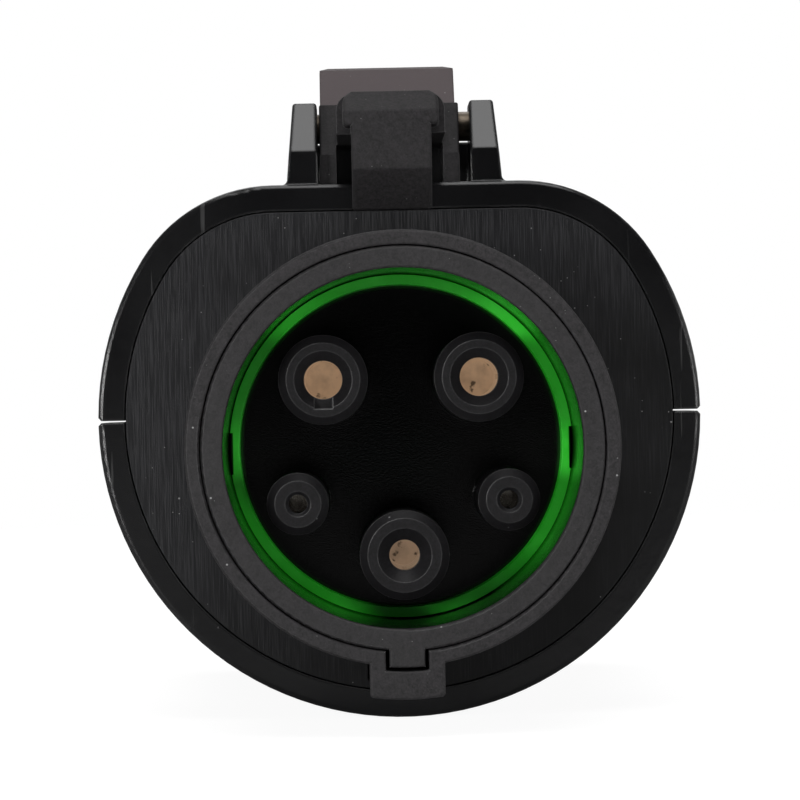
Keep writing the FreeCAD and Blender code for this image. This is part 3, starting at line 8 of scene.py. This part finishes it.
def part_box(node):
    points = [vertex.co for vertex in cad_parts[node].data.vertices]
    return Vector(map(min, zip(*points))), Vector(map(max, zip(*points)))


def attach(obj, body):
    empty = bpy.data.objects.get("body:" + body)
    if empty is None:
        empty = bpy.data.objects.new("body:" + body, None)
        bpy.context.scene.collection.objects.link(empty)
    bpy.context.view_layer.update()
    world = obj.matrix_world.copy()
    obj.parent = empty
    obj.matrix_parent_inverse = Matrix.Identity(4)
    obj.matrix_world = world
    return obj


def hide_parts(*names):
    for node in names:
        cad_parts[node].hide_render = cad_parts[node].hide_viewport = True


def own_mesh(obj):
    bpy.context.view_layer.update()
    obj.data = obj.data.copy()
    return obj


# Charging adapter, dressed for the picture. Lengths are metres. X runs to the right, Y from the
# plug nose towards the inlet, and Z up. The camera looks along +Y at the nose.

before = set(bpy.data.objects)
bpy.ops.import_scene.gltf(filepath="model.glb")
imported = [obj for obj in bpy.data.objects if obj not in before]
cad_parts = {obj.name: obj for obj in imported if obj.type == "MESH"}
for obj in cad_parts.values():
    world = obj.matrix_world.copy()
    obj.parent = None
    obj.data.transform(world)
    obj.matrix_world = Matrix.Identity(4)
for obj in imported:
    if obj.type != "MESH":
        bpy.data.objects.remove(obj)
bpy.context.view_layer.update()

# Places on the object that the finishes and the camera are set by
NOSE_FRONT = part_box("nose_sleeve")[0].y
CARRIER_LOW, CARRIER_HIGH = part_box("contact_carrier")
NOSE_AXIS_HEIGHT = (CARRIER_LOW.z + CARRIER_HIGH.z) / 2
BORE_RADIUS = 0.0181
TOWER_TIPS = NOSE_FRONT + 0.008
CAVITY_FLOOR = NOSE_FRONT + 0.0265
THUMB_PAD_FRONT = NOSE_FRONT + 0.052

# Latch spring: its wire, its turns, and the steps and sides of its mesh
SPRING_WIRE = 0.0008
SPRING_TURNS = 6
STEPS_IN_A_TURN = 48
WIRE_SIDES = 16

# Camera, as the photograph's perspective and tilt give it
CAMERA_DISTANCE = 0.480
LENS_MM = 216.0
SENSOR_MM = 36.0
NEAREST_SEEN = 0.01
NOSE_RIGHT_OF_VIEW = 0.0003
NOSE_BELOW_VIEW = 0.0048
ROLL = math.radians(1.2)
YAW = math.radians(0.5)

# Plain studio: the floor's paint and its own brightness, as the camera and as reflections see them
FLOOR_SIZE = 1.6
FLOOR_PAINT = 0.85
FLOOR_PAINT_IN_GLOSS = 0.3
FLOOR_GLOW = 0.8
FLOOR_GLOW_IN_GLOSS = 0.06
GLOW_STRENGTH = 1.165

# World: even fill, white backdrop, and reflections that brighten from the front to the back
FILL = 0.22
BACKDROP = 1.0
FRONT_GLOSS = 0.014
BACK_GLOSS = 0.4
GLOSS_RISES_FROM = -0.15
GLOSS_RISES_TO = 0.45

# Soft round lamps: where each stands, how wide it is, and its watts
LAMPS = {
    "key": ((-0.24, -0.36, 0.060), 0.08, 0.60),
    "front_right": ((0.24, -0.36, 0.040), 0.08, 0.30),
    "overhead": ((0.0, -0.42, 0.86), 0.72, 5.0),
    "side_right": ((0.80, -0.10, 0.22), 0.4, 0.6),
    "back_top": ((-0.1, 0.5, 0.75), 0.6, 2.0),
}

# The Mix node's two inputs and its output, for numbers and for colours
MIX_SOCKETS = {"FLOAT": (2, 3, 0), "RGBA": (6, 7, 2)}

# Rays that ease a sharp edge, and how far the eased direction leaves the face's where pale edges
# begin and where they are full: wear, and on some finishes a painted highlight
EDGE_SAMPLES = 4
PALE_EDGE_BEGINS = 0.02
PALE_EDGE_IS_FULL = 0.3

# Share of a speck's size that has its full colour
SPECK_CORE = 0.4


class Nodes:
    """A node tree, with a method for each kind of node that both finishes and studio use."""

    def __init__(self, tree):
        self.tree = tree

    def plug(self, value, socket):
        """Sets a socket to a number or colour, or links it to another node's output."""
        if isinstance(value, bpy.types.NodeSocket):
            self.tree.links.new(value, socket)
        else:
            socket.default_value = value

    def feed(self, node, **inputs):
        """Plugs a node's inputs by name, with underscores for spaces."""
        for name, value in inputs.items():
            self.plug(value, node.inputs[name.replace("_", " ")])

    def add(self, kind, **inputs):
        """A new node of a kind, with inputs by name."""
        node = self.tree.nodes.new("ShaderNode" + kind)
        self.feed(node, **inputs)
        return node

    def window(self, value, low, high, start=0.0, end=1.0):
        """Maps low to start and high to end, and holds outside them."""
        return self.add("MapRange", Value=value, From_Min=low, From_Max=high,
                        To_Min=start, To_Max=end).outputs[0]

    def math(self, operation, first, second=0.0):
        """One sum, by Blender's name for it."""
        node = self.add("Math")
        node.operation = operation
        self.plug(first, node.inputs[0])
        self.plug(second, node.inputs[1])
        return node.outputs[0]

    def plus(self, first, second):
        """Two values added."""
        return self.math("ADD", first, second)

    def less(self, first, second):
        """The second value taken from the first."""
        return self.math("SUBTRACT", first, second)

    def times(self, first, second):
        """Two values multiplied."""
        return self.math("MULTIPLY", first, second)

    def most(self, first, second):
        """The larger of two values."""
        return self.math("MAXIMUM", first, second)

    def along(self, vector, which):
        """A vector's X, Y or Z."""
        return self.add("SeparateXYZ", Vector=vector).outputs[which]

    def mix(self, kind, share, first, second):
        """From the first number or colour to the second, by a share from 0 to 1."""
        node = self.add("Mix")
        node.data_type = kind
        first_socket, second_socket, result = MIX_SOCKETS[kind]
        self.plug(share, node.inputs[0])
        self.plug(first, node.inputs[first_socket])
        self.plug(second, node.inputs[second_socket])
        return node.outputs[result]


class Finish(Nodes):
    """A material in the making: its shader, and the patterns and reliefs that it is made of."""

    def __init__(self, name):
        self.material = bpy.data.materials.new(name)
        self.material.use_nodes = True
        super().__init__(self.material.node_tree)
        self.tree.nodes.clear()
        self.shader = self.add("BsdfPrincipled")
        self.add("OutputMaterial", Surface=self.shader.outputs[0])
        self.place = self.add("TexCoord").outputs["Object"]

    def made(self, **inputs):
        """The material, with the shader's inputs by name."""
        self.feed(self.shader, **inputs)
        return self.material

    def stretched(self, stretch, turn):
        """The object's coordinates turned, then stretched along each axis."""
        return self.add("Mapping", Vector=self.place, Scale=stretch, Rotation=turn).outputs[0]

    def noise(self, size, detail, rough=0.5, at=None):
        """Cloudy value from 0 to 1 whose blobs are about the given size across."""
        return self.add("TexNoise", Vector=at or self.place, Scale=1 / size, Detail=detail,
                        Roughness=rough).outputs["Fac"]

    def axis(self, which):
        """How far along X, Y or Z a point of the object lies."""
        return self.along(self.place, which)

    def over_nose_axis(self):
        """A point's height over the nose's axis."""
        return self.less(self.axis("Z"), NOSE_AXIS_HEIGHT)

    def from_nose_axis(self):
        """A point's distance from the nose's axis."""
        across = self.axis("X")
        up = self.over_nose_axis()
        return self.math("SQRT", self.plus(self.times(across, across), self.times(up, up)))

    def blend(self, share, first, second):
        """Mixes two colours."""
        return self.mix("RGBA", share, first, second)

    def rounded(self, radius):
        """The surface's direction with its sharp edges eased over a radius."""
        node = self.add("Bevel", Radius=radius)
        node.samples = EDGE_SAMPLES
        return node.outputs[0]

    def bump(self, height, depth, onto, strength=1.0):
        """Raises the surface by height times depth, on top of an earlier direction."""
        return self.add("Bump", Height=height, Distance=depth, Normal=onto,
                        Strength=strength).outputs[0]

    def agreement(self, direction, other):
        """How far two directions agree: 1 where they are the same, 0 where they are square."""
        node = self.add("VectorMath")
        node.operation = "DOT_PRODUCT"
        self.plug(direction, node.inputs[0])
        self.plug(other, node.inputs[1])
        return node.outputs["Value"]

    def edge_patches(self, radius, patch, low, high, least):
        """Pale edges, worn and on some finishes a painted highlight: 0 on flat faces and up to 1 on
        sharp edges, where the eased direction leaves the face's.

        It comes and goes in patches of a size: full where their noise is high, least where it is low.
        """
        face = self.add("NewGeometry").outputs["Normal"]
        leaves = self.less(1.0, self.agreement(self.rounded(radius), face))
        patches = self.window(self.noise(patch, 3), low, high, least, 1.0)
        return self.times(self.window(leaves, PALE_EDGE_BEGINS, PALE_EDGE_IS_FULL), patches)

    def specks(self, spacing, size, share):
        """Small round specks: scattered points, of which only a share are kept."""
        cells = self.add("TexVoronoi", Vector=self.place, Scale=1 / spacing)
        chance = self.add("SeparateColor", Color=cells.outputs["Color"]).outputs[0]
        rim = size / spacing
        near = self.window(cells.outputs["Distance"], rim, SPECK_CORE * rim)
        return self.times(near, self.math("LESS_THAN", chance, share))


def grey(value):
    """A neutral colour."""
    return (value, value, value, 1.0)


def shade(red, green, blue):
    """A colour by its linear red, green and blue."""
    return (red, green, blue, 1.0)


# Pale speck colour: dust, and in the charcoal mouldings also painted glints
DUST_AND_GLINT = grey(0.32)
INNER_BLACK = shade(0.02, 0.02, 0.021)


def gloss_housing():
    """Glossy black moulding: orange peel, hair scratches, a little dust and paler worn edges."""
    black = shade(0.0055, 0.0055, 0.006)
    scratched = grey(0.05)
    pale_edge_colour = grey(0.14)
    hair_width = 0.0009
    cross_hair_width = 0.0008
    scratch_depth = 0.00001
    peel_size = 0.0022
    peel_depth = 0.00002
    edge_radius = 0.00035
    f = Finish("housing_gloss")
    cloud = f.noise(0.018, 4)
    lines = f.noise(hair_width, 2, at=f.stretched((1.0, 0.12, 0.06), (0.4, 0.2, 0.7)))
    cross = f.noise(cross_hair_width, 2, at=f.stretched((0.08, 1.0, 0.08), (0.1, 0.9, -0.5)))
    hairs = f.most(f.window(lines, 0.66, 0.72), f.window(cross, 0.67, 0.72))
    scratch = f.times(hairs, f.window(cloud, 0.42, 0.62))
    dust = f.specks(spacing=0.0035, size=0.00018, share=0.35)
    edge = f.edge_patches(0.0004, patch=0.004, low=0.3, high=0.6, least=0.3)
    colour = f.blend(f.times(scratch, 0.5), black, scratched)
    colour = f.blend(f.times(edge, 0.5), colour, pale_edge_colour)
    colour = f.blend(f.times(dust, 0.7), colour, DUST_AND_GLINT)
    peel = f.bump(f.noise(peel_size, 2), peel_depth, onto=f.rounded(edge_radius))
    roughness = f.plus(f.window(cloud, 0.3, 0.7, 0.14, 0.26), f.times(f.most(scratch, dust), 0.3))
    return f.made(Base_Color=colour, Roughness=roughness,
                  Normal=f.bump(scratch, scratch_depth, onto=peel, strength=0.6))


def brushed_plate():
    """Half-gloss black plate with upright scratches from handling, most at the left and top, where it is
    also paler: partly the scratching and partly a painted reflection.
    """
    fresh = grey(0.004)
    paler_tone = shade(0.0115, 0.0115, 0.0128)
    scratched = shade(0.060, 0.060, 0.066)
    fine_width = 0.00010
    broad_width = 0.00022
    scratch_depth = 0.00002
    edge_radius = 0.0002
    f = Finish("plate_brushed")
    fine = f.noise(fine_width, 2, at=f.stretched((1.0, 1.0, 0.018), (0, 0.02, 0)))
    broad = f.noise(broad_width, 3, at=f.stretched((1.0, 1.0, 0.03), (0, -0.03, 0)))
    cloud = f.noise(0.012, 3)
    left = f.window(f.axis("X"), -0.002, -0.026)
    top = f.window(f.over_nose_axis(), 0.008, 0.023)
    scratches_and_sheen = f.window(f.plus(f.most(left, top), cloud), 0.35, 1.3, 0.10, 1.0)
    lines = f.most(f.window(fine, 0.50, 0.66), f.times(f.window(broad, 0.58, 0.70), 0.8))
    scratch = f.times(lines, scratches_and_sheen)
    dust = f.most(f.specks(spacing=0.0016, size=0.00014, share=0.3),
                  f.specks(spacing=0.0007, size=0.00007, share=0.12))
    # Paler at the left and top: rubbed scratches and a painted reflection
    colour = f.blend(f.times(scratch, 0.28), f.blend(scratches_and_sheen, fresh, paler_tone), scratched)
    colour = f.blend(f.times(dust, 0.8), colour, DUST_AND_GLINT)
    roughness = f.window(f.plus(scratch, f.times(cloud, 0.3)), 0.0, 1.0, 0.36, 0.50)
    return f.made(Base_Color=colour, Roughness=roughness, Specular_IOR_Level=0.26,
                  Normal=f.bump(scratch, scratch_depth, onto=f.rounded(edge_radius), strength=0.4))


def grained_nose(name, tone, roughness, specular, dusty, bore=False, thumb=False):
    """Charcoal moulding with spark-eroded grain, dust, pale edges that are partly rubbed wear and partly
    painted highlight, and tiny pale specks that are painted glints.

    With bore, the wall inside the nose is polished, so that it mirrors the green seal behind it.
    With thumb, the pad behind the pivot is paler and a little brown from handling.
    """
    hollow = grey(tone * 0.45)
    crest = shade(tone * 1.66, tone * 1.5, tone * 1.64)
    clouded = grey(tone * 1.4)
    paler_tone = shade(0.100, 0.080, 0.083)
    pale_edge_colour = grey(0.22)
    bore_black = grey(0.004)
    bore_roughness = 0.12
    grain_size = 0.00022
    pit_size = 0.00053
    grain_depth = 0.00005
    edge_radius = 0.00018
    f = Finish(name)
    grain = f.noise(grain_size, 3, 0.65)
    pits = f.noise(pit_size, 2)
    cloud = f.noise(0.009, 4)
    dust = f.most(f.specks(spacing=0.0015, size=0.00013, share=dusty),
                  f.specks(spacing=0.004, size=0.00028, share=dusty * 0.5))
    # Tiny pale specks: painted glints off the grain
    sparkle = f.specks(spacing=0.0005, size=0.00006, share=0.10)
    edge = f.edge_patches(0.00016, patch=0.002, low=0.3, high=0.65, least=0.45)
    speckle = f.window(f.plus(grain, f.times(pits, 0.5)), 0.5, 1.0)
    colour = f.blend(speckle, hollow, crest)
    colour = f.blend(f.times(f.window(cloud, 0.4, 0.75), 0.3), colour, clouded)
    if thumb:
        behind = f.window(f.axis("Y"), THUMB_PAD_FRONT, THUMB_PAD_FRONT + 0.004)
        colour = f.blend(f.times(behind, 0.7), colour, paler_tone)
    # Pale edges: partly rubbed wear, partly a painted highlight along the edges
    colour = f.blend(f.times(edge, 0.75), colour, pale_edge_colour)
    colour = f.blend(f.most(f.times(dust, 0.8), f.times(sparkle, 0.5)), colour, DUST_AND_GLINT)
    rough = f.window(grain, 0.3, 0.7, roughness - 0.05, roughness + 0.07)
    height = grain
    if bore:
        deep = f.window(f.axis("Y"), NOSE_FRONT + 0.0004, NOSE_FRONT + 0.0012)
        within = f.window(f.from_nose_axis(), BORE_RADIUS + 0.0004, BORE_RADIUS + 0.0002)
        inside = f.times(within, deep)
        rough = f.less(rough, f.times(inside, roughness - bore_roughness))
        colour = f.blend(inside, colour, bore_black)
        height = f.times(grain, f.less(1.0, inside))
    return f.made(Base_Color=colour, Roughness=rough, Specular_IOR_Level=specular,
                  Normal=f.bump(height, grain_depth, onto=f.rounded(edge_radius), strength=0.6))


def towers_and_floor():
    """The contact carrier: charcoal towers that darken with depth, as painted shade, into a black floor,
    with a painted green spill of the seal's light on the floor beside the seal.
    """
    hollow = grey(0.006)
    crest = shade(0.013, 0.012, 0.014)
    pale_edge_colour = grey(0.34)
    black_floor_and_shade = grey(0.002)
    painted_seal_spill = shade(0.01, 0.12, 0.01)
    light_from = (-0.7, 0.0, 0.7)
    grain_size = 0.00016
    grain_depth = 0.00002
    pale_edge_radius = 0.00022
    edge_radius = 0.00018
    f = Finish("carrier_charcoal")
    grain = f.noise(grain_size, 3, 0.6)
    # Share of the way down the cavity: it darkens the colour as painted shade over the floor's own
    # black, and makes the floor smoother
    floor = f.window(f.axis("Y"), TOWER_TIPS, CAVITY_FLOOR)
    edge = f.edge_patches(pale_edge_radius, patch=0.002, low=0.3, high=0.65, least=0.35)
    painted_highlight_side = f.window(f.agreement(f.rounded(pale_edge_radius), light_from), 0.1, 0.6, 0.3, 1.0)
    dust = f.most(f.specks(spacing=0.0015, size=0.00012, share=0.2),
                  f.specks(spacing=0.004, size=0.00024, share=0.1))
    colour = f.blend(f.window(grain, 0.35, 0.7), hollow, crest)
    # Pale edges: wear, made paler where they face the upper left, as a painted highlight on the
    # upper-left rims
    colour = f.blend(f.times(edge, painted_highlight_side), colour, pale_edge_colour)
    colour = f.blend(f.times(dust, 0.75), colour, DUST_AND_GLINT)
    # Beside the seal the floor gets a painted green spill of the seal's light
    by_seal = f.window(f.from_nose_axis(), BORE_RADIUS - 0.0016, BORE_RADIUS - 0.0009)
    colour = f.blend(floor, colour, f.blend(by_seal, black_floor_and_shade, painted_seal_spill))
    rough = f.times(f.window(grain, 0.3, 0.7, 0.36, 0.5), f.window(floor, 0.0, 1.0, 1.0, 0.3))
    return f.made(Base_Color=colour, Roughness=rough, Specular_IOR_Level=0.25,
                  Normal=f.bump(grain, grain_depth, onto=f.rounded(edge_radius), strength=0.5))


def green_silicone():
    """Slightly clear green rubber with a soft sheen.

    It has a painted glow, most at the right and the lower left and none at the bottom, that stands in
    for light reaching the seal there.
    """
    deep_green = shade(0.030, 0.78, 0.026)
    pale_green = shade(0.050, 0.90, 0.046)
    no_light = grey(0.0)
    skin_size = 0.0004
    skin_depth = 0.00001
    edge_radius = 0.00015
    f = Finish("seal_silicone")
    cloud = f.noise(0.003, 3)
    colour = f.blend(f.window(cloud, 0.35, 0.7), deep_green, pale_green)
    across = f.axis("X")
    up = f.over_nose_axis()
    right = f.times(f.window(across, 0.0, 0.014, 0.25, 1.0), f.window(up, -0.0155, -0.011))
    lower_left = f.window(f.plus(across, up), -0.0195, -0.0235, 0.0, 0.7)
    # Painted glow on the seal, strongest at the right and the lower left
    painted_seal_glow = f.most(right, lower_left)
    return f.made(Base_Color=colour, Roughness=f.window(cloud, 0.3, 0.7, 0.32, 0.45),
                  Emission_Color=f.blend(painted_seal_glow, no_light, colour), Emission_Strength=0.14,
                  Subsurface_Weight=0.25, Subsurface_Scale=0.0012,
                  Subsurface_Radius=(0.4, 1.0, 0.4),
                  Normal=f.bump(f.noise(skin_size, 2), skin_depth, onto=f.rounded(edge_radius)))


def metal(name, bright, tarnished, roughness, metallic=1.0, spots=0.0, painted_glow=0.0):
    """Turned or drawn metal: fine tool lines, patches of tarnish and, with spots, dark smudges.

    The last argument gives a painted glow in the metal's own colour, standing in for light on contacts
    too deep in their bores for the lamps.
    """
    line_width = 0.0001
    line_depth = 0.000004
    edge_radius = 0.0001
    f = Finish(name)
    lines = f.noise(line_width, 2)
    patch = f.noise(0.0016, 4)
    colour = f.blend(f.window(patch, 0.45, 0.72), bright, tarnished)
    if spots:
        smudge = f.window(f.noise(0.0013, 3), 1 - spots, 1 - spots + 0.06)
        colour = f.blend(smudge, colour, shade(*(channel * 0.25 for channel in tarnished[:3])))
    wear = f.plus(lines, f.times(patch, 0.6))
    # The emission is a painted glow that stands in for light on deep contacts
    return f.made(Base_Color=colour, Metallic=metallic, Emission_Color=colour, Emission_Strength=painted_glow,
                  Roughness=f.window(wear, 0.5, 1.1, roughness - 0.06, roughness + 0.12),
                  Normal=f.bump(lines, line_depth, onto=f.rounded(edge_radius), strength=0.5))


def plain_moulding(name, tone, roughness):
    """Plain inner moulding, cable cover or board: fine grain and slight clouding."""
    grain_size = 0.0003
    grain_depth = 0.00001
    edge_radius = 0.00015
    f = Finish(name)
    grain = f.noise(grain_size, 3)
    cloud = f.window(f.noise(0.006, 3), 0.35, 0.7)
    pale = shade(*(min(1.0, channel * 1.3 + 0.004) for channel in tone[:3]))
    return f.made(Base_Color=f.blend(f.times(cloud, 0.6), tone, pale),
                  Roughness=f.window(grain, 0.3, 0.7, roughness - 0.05, roughness + 0.08),
                  Normal=f.bump(grain, grain_depth, onto=f.rounded(edge_radius), strength=0.5))


def add_spring(finish):
    """The coil under the thumb pad.

    A wire's circle is carried round a helix that fills the CAD spring's box. At each angle, its
    middle lies at the coil's radius and has climbed in step with the angle, and its circle stands
    in the plane through the coil's axis.
    """
    low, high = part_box("latch_spring")
    wire_radius = SPRING_WIRE / 2
    rings = SPRING_TURNS * STEPS_IN_A_TURN + 1
    angle = np.linspace(0, SPRING_TURNS * 2 * np.pi, rings)[:, None]
    climb = np.linspace(low.z + wire_radius, high.z - wire_radius, rings)[:, None]
    around = np.linspace(0, 2 * np.pi, WIRE_SIDES, endpoint=False)[None, :]
    reach = (high.x - low.x) / 2 - wire_radius + wire_radius * np.cos(around)
    points = np.stack([(low.x + high.x) / 2 + reach * np.cos(angle),
                       (low.y + high.y) / 2 + reach * np.sin(angle),
                       climb + wire_radius * np.sin(around)], axis=-1)
    ring = np.arange(rings * WIRE_SIDES).reshape(rings, WIRE_SIDES)
    here, ahead = ring[:-1], ring[1:]
    quads = np.stack([here, ahead, np.roll(ahead, -1, axis=1), np.roll(here, -1, axis=1)], axis=-1)
    ends = [ring[0].tolist(), ring[-1][::-1].tolist()]
    mesh = bpy.data.meshes.new("pad_spring")
    mesh.from_pydata(points.reshape(-1, 3).tolist(), [], quads.reshape(-1, 4).tolist() + ends)
    smooth = [True] * (len(mesh.polygons) - len(ends)) + [False] * len(ends)
    mesh.polygons.foreach_set("use_smooth", smooth)
    mesh.materials.append(finish)
    spring = bpy.data.objects.new("pad_spring", mesh)
    bpy.context.scene.collection.objects.link(spring)
    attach(spring, "housing")
    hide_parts("latch_spring")
    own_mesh(spring)


def contact_finishes():
    """The five socket contacts and the five inlet pins. The signal pair's contacts are duller."""
    # The power and earth contacts get a painted glow, standing in for light on contacts deep in their
    # bores
    brass = metal("contact_brass", shade(0.69, 0.53, 0.37), shade(0.51, 0.39, 0.275), 0.34,
                  metallic=0.6, spots=0.36, painted_glow=0.17)
    earth = metal("earth_brass", shade(0.57, 0.44, 0.32), shade(0.42, 0.325, 0.24), 0.34,
                  metallic=0.6, spots=0.36, painted_glow=0.17)
    signal = metal("signal_brass", shade(0.50, 0.47, 0.42), shade(0.30, 0.27, 0.24), 0.2)
    silver = metal("pin_silver", shade(0.74, 0.72, 0.68), shade(0.56, 0.53, 0.47), 0.24)
    finishes = {}
    for pole, contact in (("l1", brass), ("n", brass), ("pe", earth), ("cp", signal), ("pp", signal)):
        finishes["socket_contact_" + pole] = contact
        finishes["inlet_pin_" + pole] = silver
    return finishes


def inner_finishes():
    """The retainers, switch, board and wires inside the housing."""
    white = plain_moulding("white_cover", shade(0.7, 0.7, 0.67), 0.4)
    return {
        "contact_retainer": plain_moulding("retainer_black", INNER_BLACK, 0.5),
        "pin_retainer": plain_moulding("pin_retainer_black", INNER_BLACK, 0.5),
        "release_switch": plain_moulding("switch_black", shade(0.015, 0.015, 0.016), 0.4),
        "switch_plunger": plain_moulding("plunger_white", shade(0.6, 0.6, 0.57), 0.4),
        "circuit_board": plain_moulding("board_green", shade(0.02, 0.16, 0.07), 0.35),
        "wire_l1": plain_moulding("brown_cover", shade(0.12, 0.045, 0.02), 0.4),
        "wire_n": plain_moulding("blue_cover", shade(0.02, 0.08, 0.35), 0.4),
        "wire_pe": plain_moulding("green_cover", shade(0.06, 0.3, 0.03), 0.4),
        "wire_cp": white,
        "wire_pp": white,
    }


def dress_nodes():
    """Gives every CAD node its finish, and adds the spring."""
    housing = gloss_housing()
    steel = metal("plain_steel", shade(0.6, 0.59, 0.58), shade(0.42, 0.41, 0.4), 0.26)
    finishes = {
        "upper_shell": housing,
        "lower_shell": housing,
        "faceplate": brushed_plate(),
        "nose_sleeve": grained_nose("nose_charcoal", 0.019, 0.58, 0.3, dusty=0.3),
        "nose_shroud": grained_nose("shroud_charcoal", 0.016, 0.58, 0.4, dusty=0.3, bore=True),
        "latch_lever": grained_nose("latch_charcoal", 0.017, 0.62, 0.22, dusty=0.12, thumb=True),
        "inlet_body": grained_nose("inlet_black", 0.014, 0.5, 0.35, dusty=0.2),
        "contact_carrier": towers_and_floor(),
        "seal_ring": green_silicone(),
        "latch_pin": metal("pin_dark_steel", shade(0.11, 0.09, 0.07), shade(0.03, 0.027, 0.025), 0.4),
        "latch_spring": steel,
        "shell_screws": steel,
        "board_screws": steel,
        **contact_finishes(),
        **inner_finishes(),
    }
    for name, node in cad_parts.items():
        node.data.materials.clear()
        node.data.materials.append(finishes[name])
    add_spring(steel)


def aim(item, place, target, up=Vector((0, 0, 1))):
    """Puts an object at a place, looking along its own -Z at the target, with its Y towards up."""
    forward = (Vector(target) - Vector(place)).normalized()
    right = forward.cross(up).normalized()
    true_up = right.cross(forward)
    turn = Matrix((right, true_up, -forward)).transposed().to_4x4()
    item.matrix_world = Matrix.Translation(place) @ turn


def add_camera():
    """The camera in front of the nose, turned and rolled as the photograph shows it."""
    data = bpy.data.cameras.new("camera")
    data.lens = LENS_MM
    data.sensor_width = SENSOR_MM
    data.clip_start = NEAREST_SEEN
    data.dof.use_dof = False
    camera = bpy.data.objects.new("camera", data)
    bpy.context.scene.collection.objects.link(camera)
    nose = Vector((0, NOSE_FRONT, NOSE_AXIS_HEIGHT))
    forward = Vector((math.sin(YAW), math.cos(YAW), 0))
    level = forward.cross(Vector((0, 0, 1)))
    up = Vector((0, 0, 1)) * math.cos(ROLL) + level * math.sin(ROLL)
    right = forward.cross(up)
    place = nose - forward * CAMERA_DISTANCE - right * NOSE_RIGHT_OF_VIEW + up * NOSE_BELOW_VIEW
    aim(camera, place, place + forward, up)
    bpy.context.scene.camera = camera


def add_lamps():
    """The soft lamps, aimed between the nose's front and the object's middle."""
    target = (0, NOSE_FRONT / 2, NOSE_AXIS_HEIGHT)
    for name, (place, size, watts) in LAMPS.items():
        data = bpy.data.lights.new(name, "AREA")
        data.shape = "DISK"
        data.size = size
        data.energy = watts
        lamp = bpy.data.objects.new(name, data)
        bpy.context.scene.collection.objects.link(lamp)
        aim(lamp, Vector(place), Vector(target))


def add_world():
    """White where the camera looks, a dimmer front in reflections, and a plain fill for the rest."""
    world = bpy.data.worlds.new("studio")
    bpy.context.scene.world = world
    world.use_nodes = True
    n = Nodes(world.node_tree)
    ray = n.add("LightPath").outputs
    backwards = n.along(n.add("TexCoord").outputs["Generated"], "Y")
    gloss = n.window(backwards, GLOSS_RISES_FROM, GLOSS_RISES_TO, FRONT_GLOSS, BACK_GLOSS)
    level = n.mix("FLOAT", ray["Is Glossy Ray"], FILL, gloss)
    level = n.mix("FLOAT", ray["Is Transmission Ray"], level, BACKDROP)
    level = n.mix("FLOAT", ray["Is Camera Ray"], level, BACKDROP)
    n.feed(n.tree.nodes["Background"], Strength=level, Color=grey(1.0))


def floor_finish():
    """White paint, mixed with a brightness of its own for the camera and for reflections."""
    material = bpy.data.materials.new("floor_white")
    material.use_nodes = True
    n = Nodes(material.node_tree)
    n.tree.nodes.clear()
    ray = n.add("LightPath").outputs
    paint = n.window(ray["Is Glossy Ray"], 0.0, 1.0, FLOOR_PAINT, FLOOR_PAINT_IN_GLOSS)
    seen = n.times(n.most(ray["Is Camera Ray"], ray["Is Transmission Ray"]), FLOOR_GLOW)
    share = n.most(seen, n.times(ray["Is Glossy Ray"], FLOOR_GLOW_IN_GLOSS))
    mix = n.add("MixShader", Fac=share)
    n.plug(n.add("BsdfDiffuse", Color=paint).outputs[0], mix.inputs[1])
    n.plug(n.add("Emission", Strength=GLOW_STRENGTH).outputs[0], mix.inputs[2])
    n.add("OutputMaterial", Surface=mix.outputs[0])
    return material


def add_floor():
    """A pale floor that keeps a soft shadow and otherwise meets the white background."""
    half = FLOOR_SIZE / 2
    corners = [(-half, -half, 0), (half, -half, 0), (half, half, 0), (-half, half, 0)]
    mesh = bpy.data.meshes.new("floor")
    mesh.from_pydata(corners, [], [(0, 1, 2, 3)])
    mesh.materials.append(floor_finish())
    floor = bpy.data.objects.new("floor", mesh)
    bpy.context.scene.collection.objects.link(floor)


dress_nodes()
add_floor()
add_world()
add_lamps()
add_camera()
bpy.context.scene.view_settings.view_transform = "Standard"
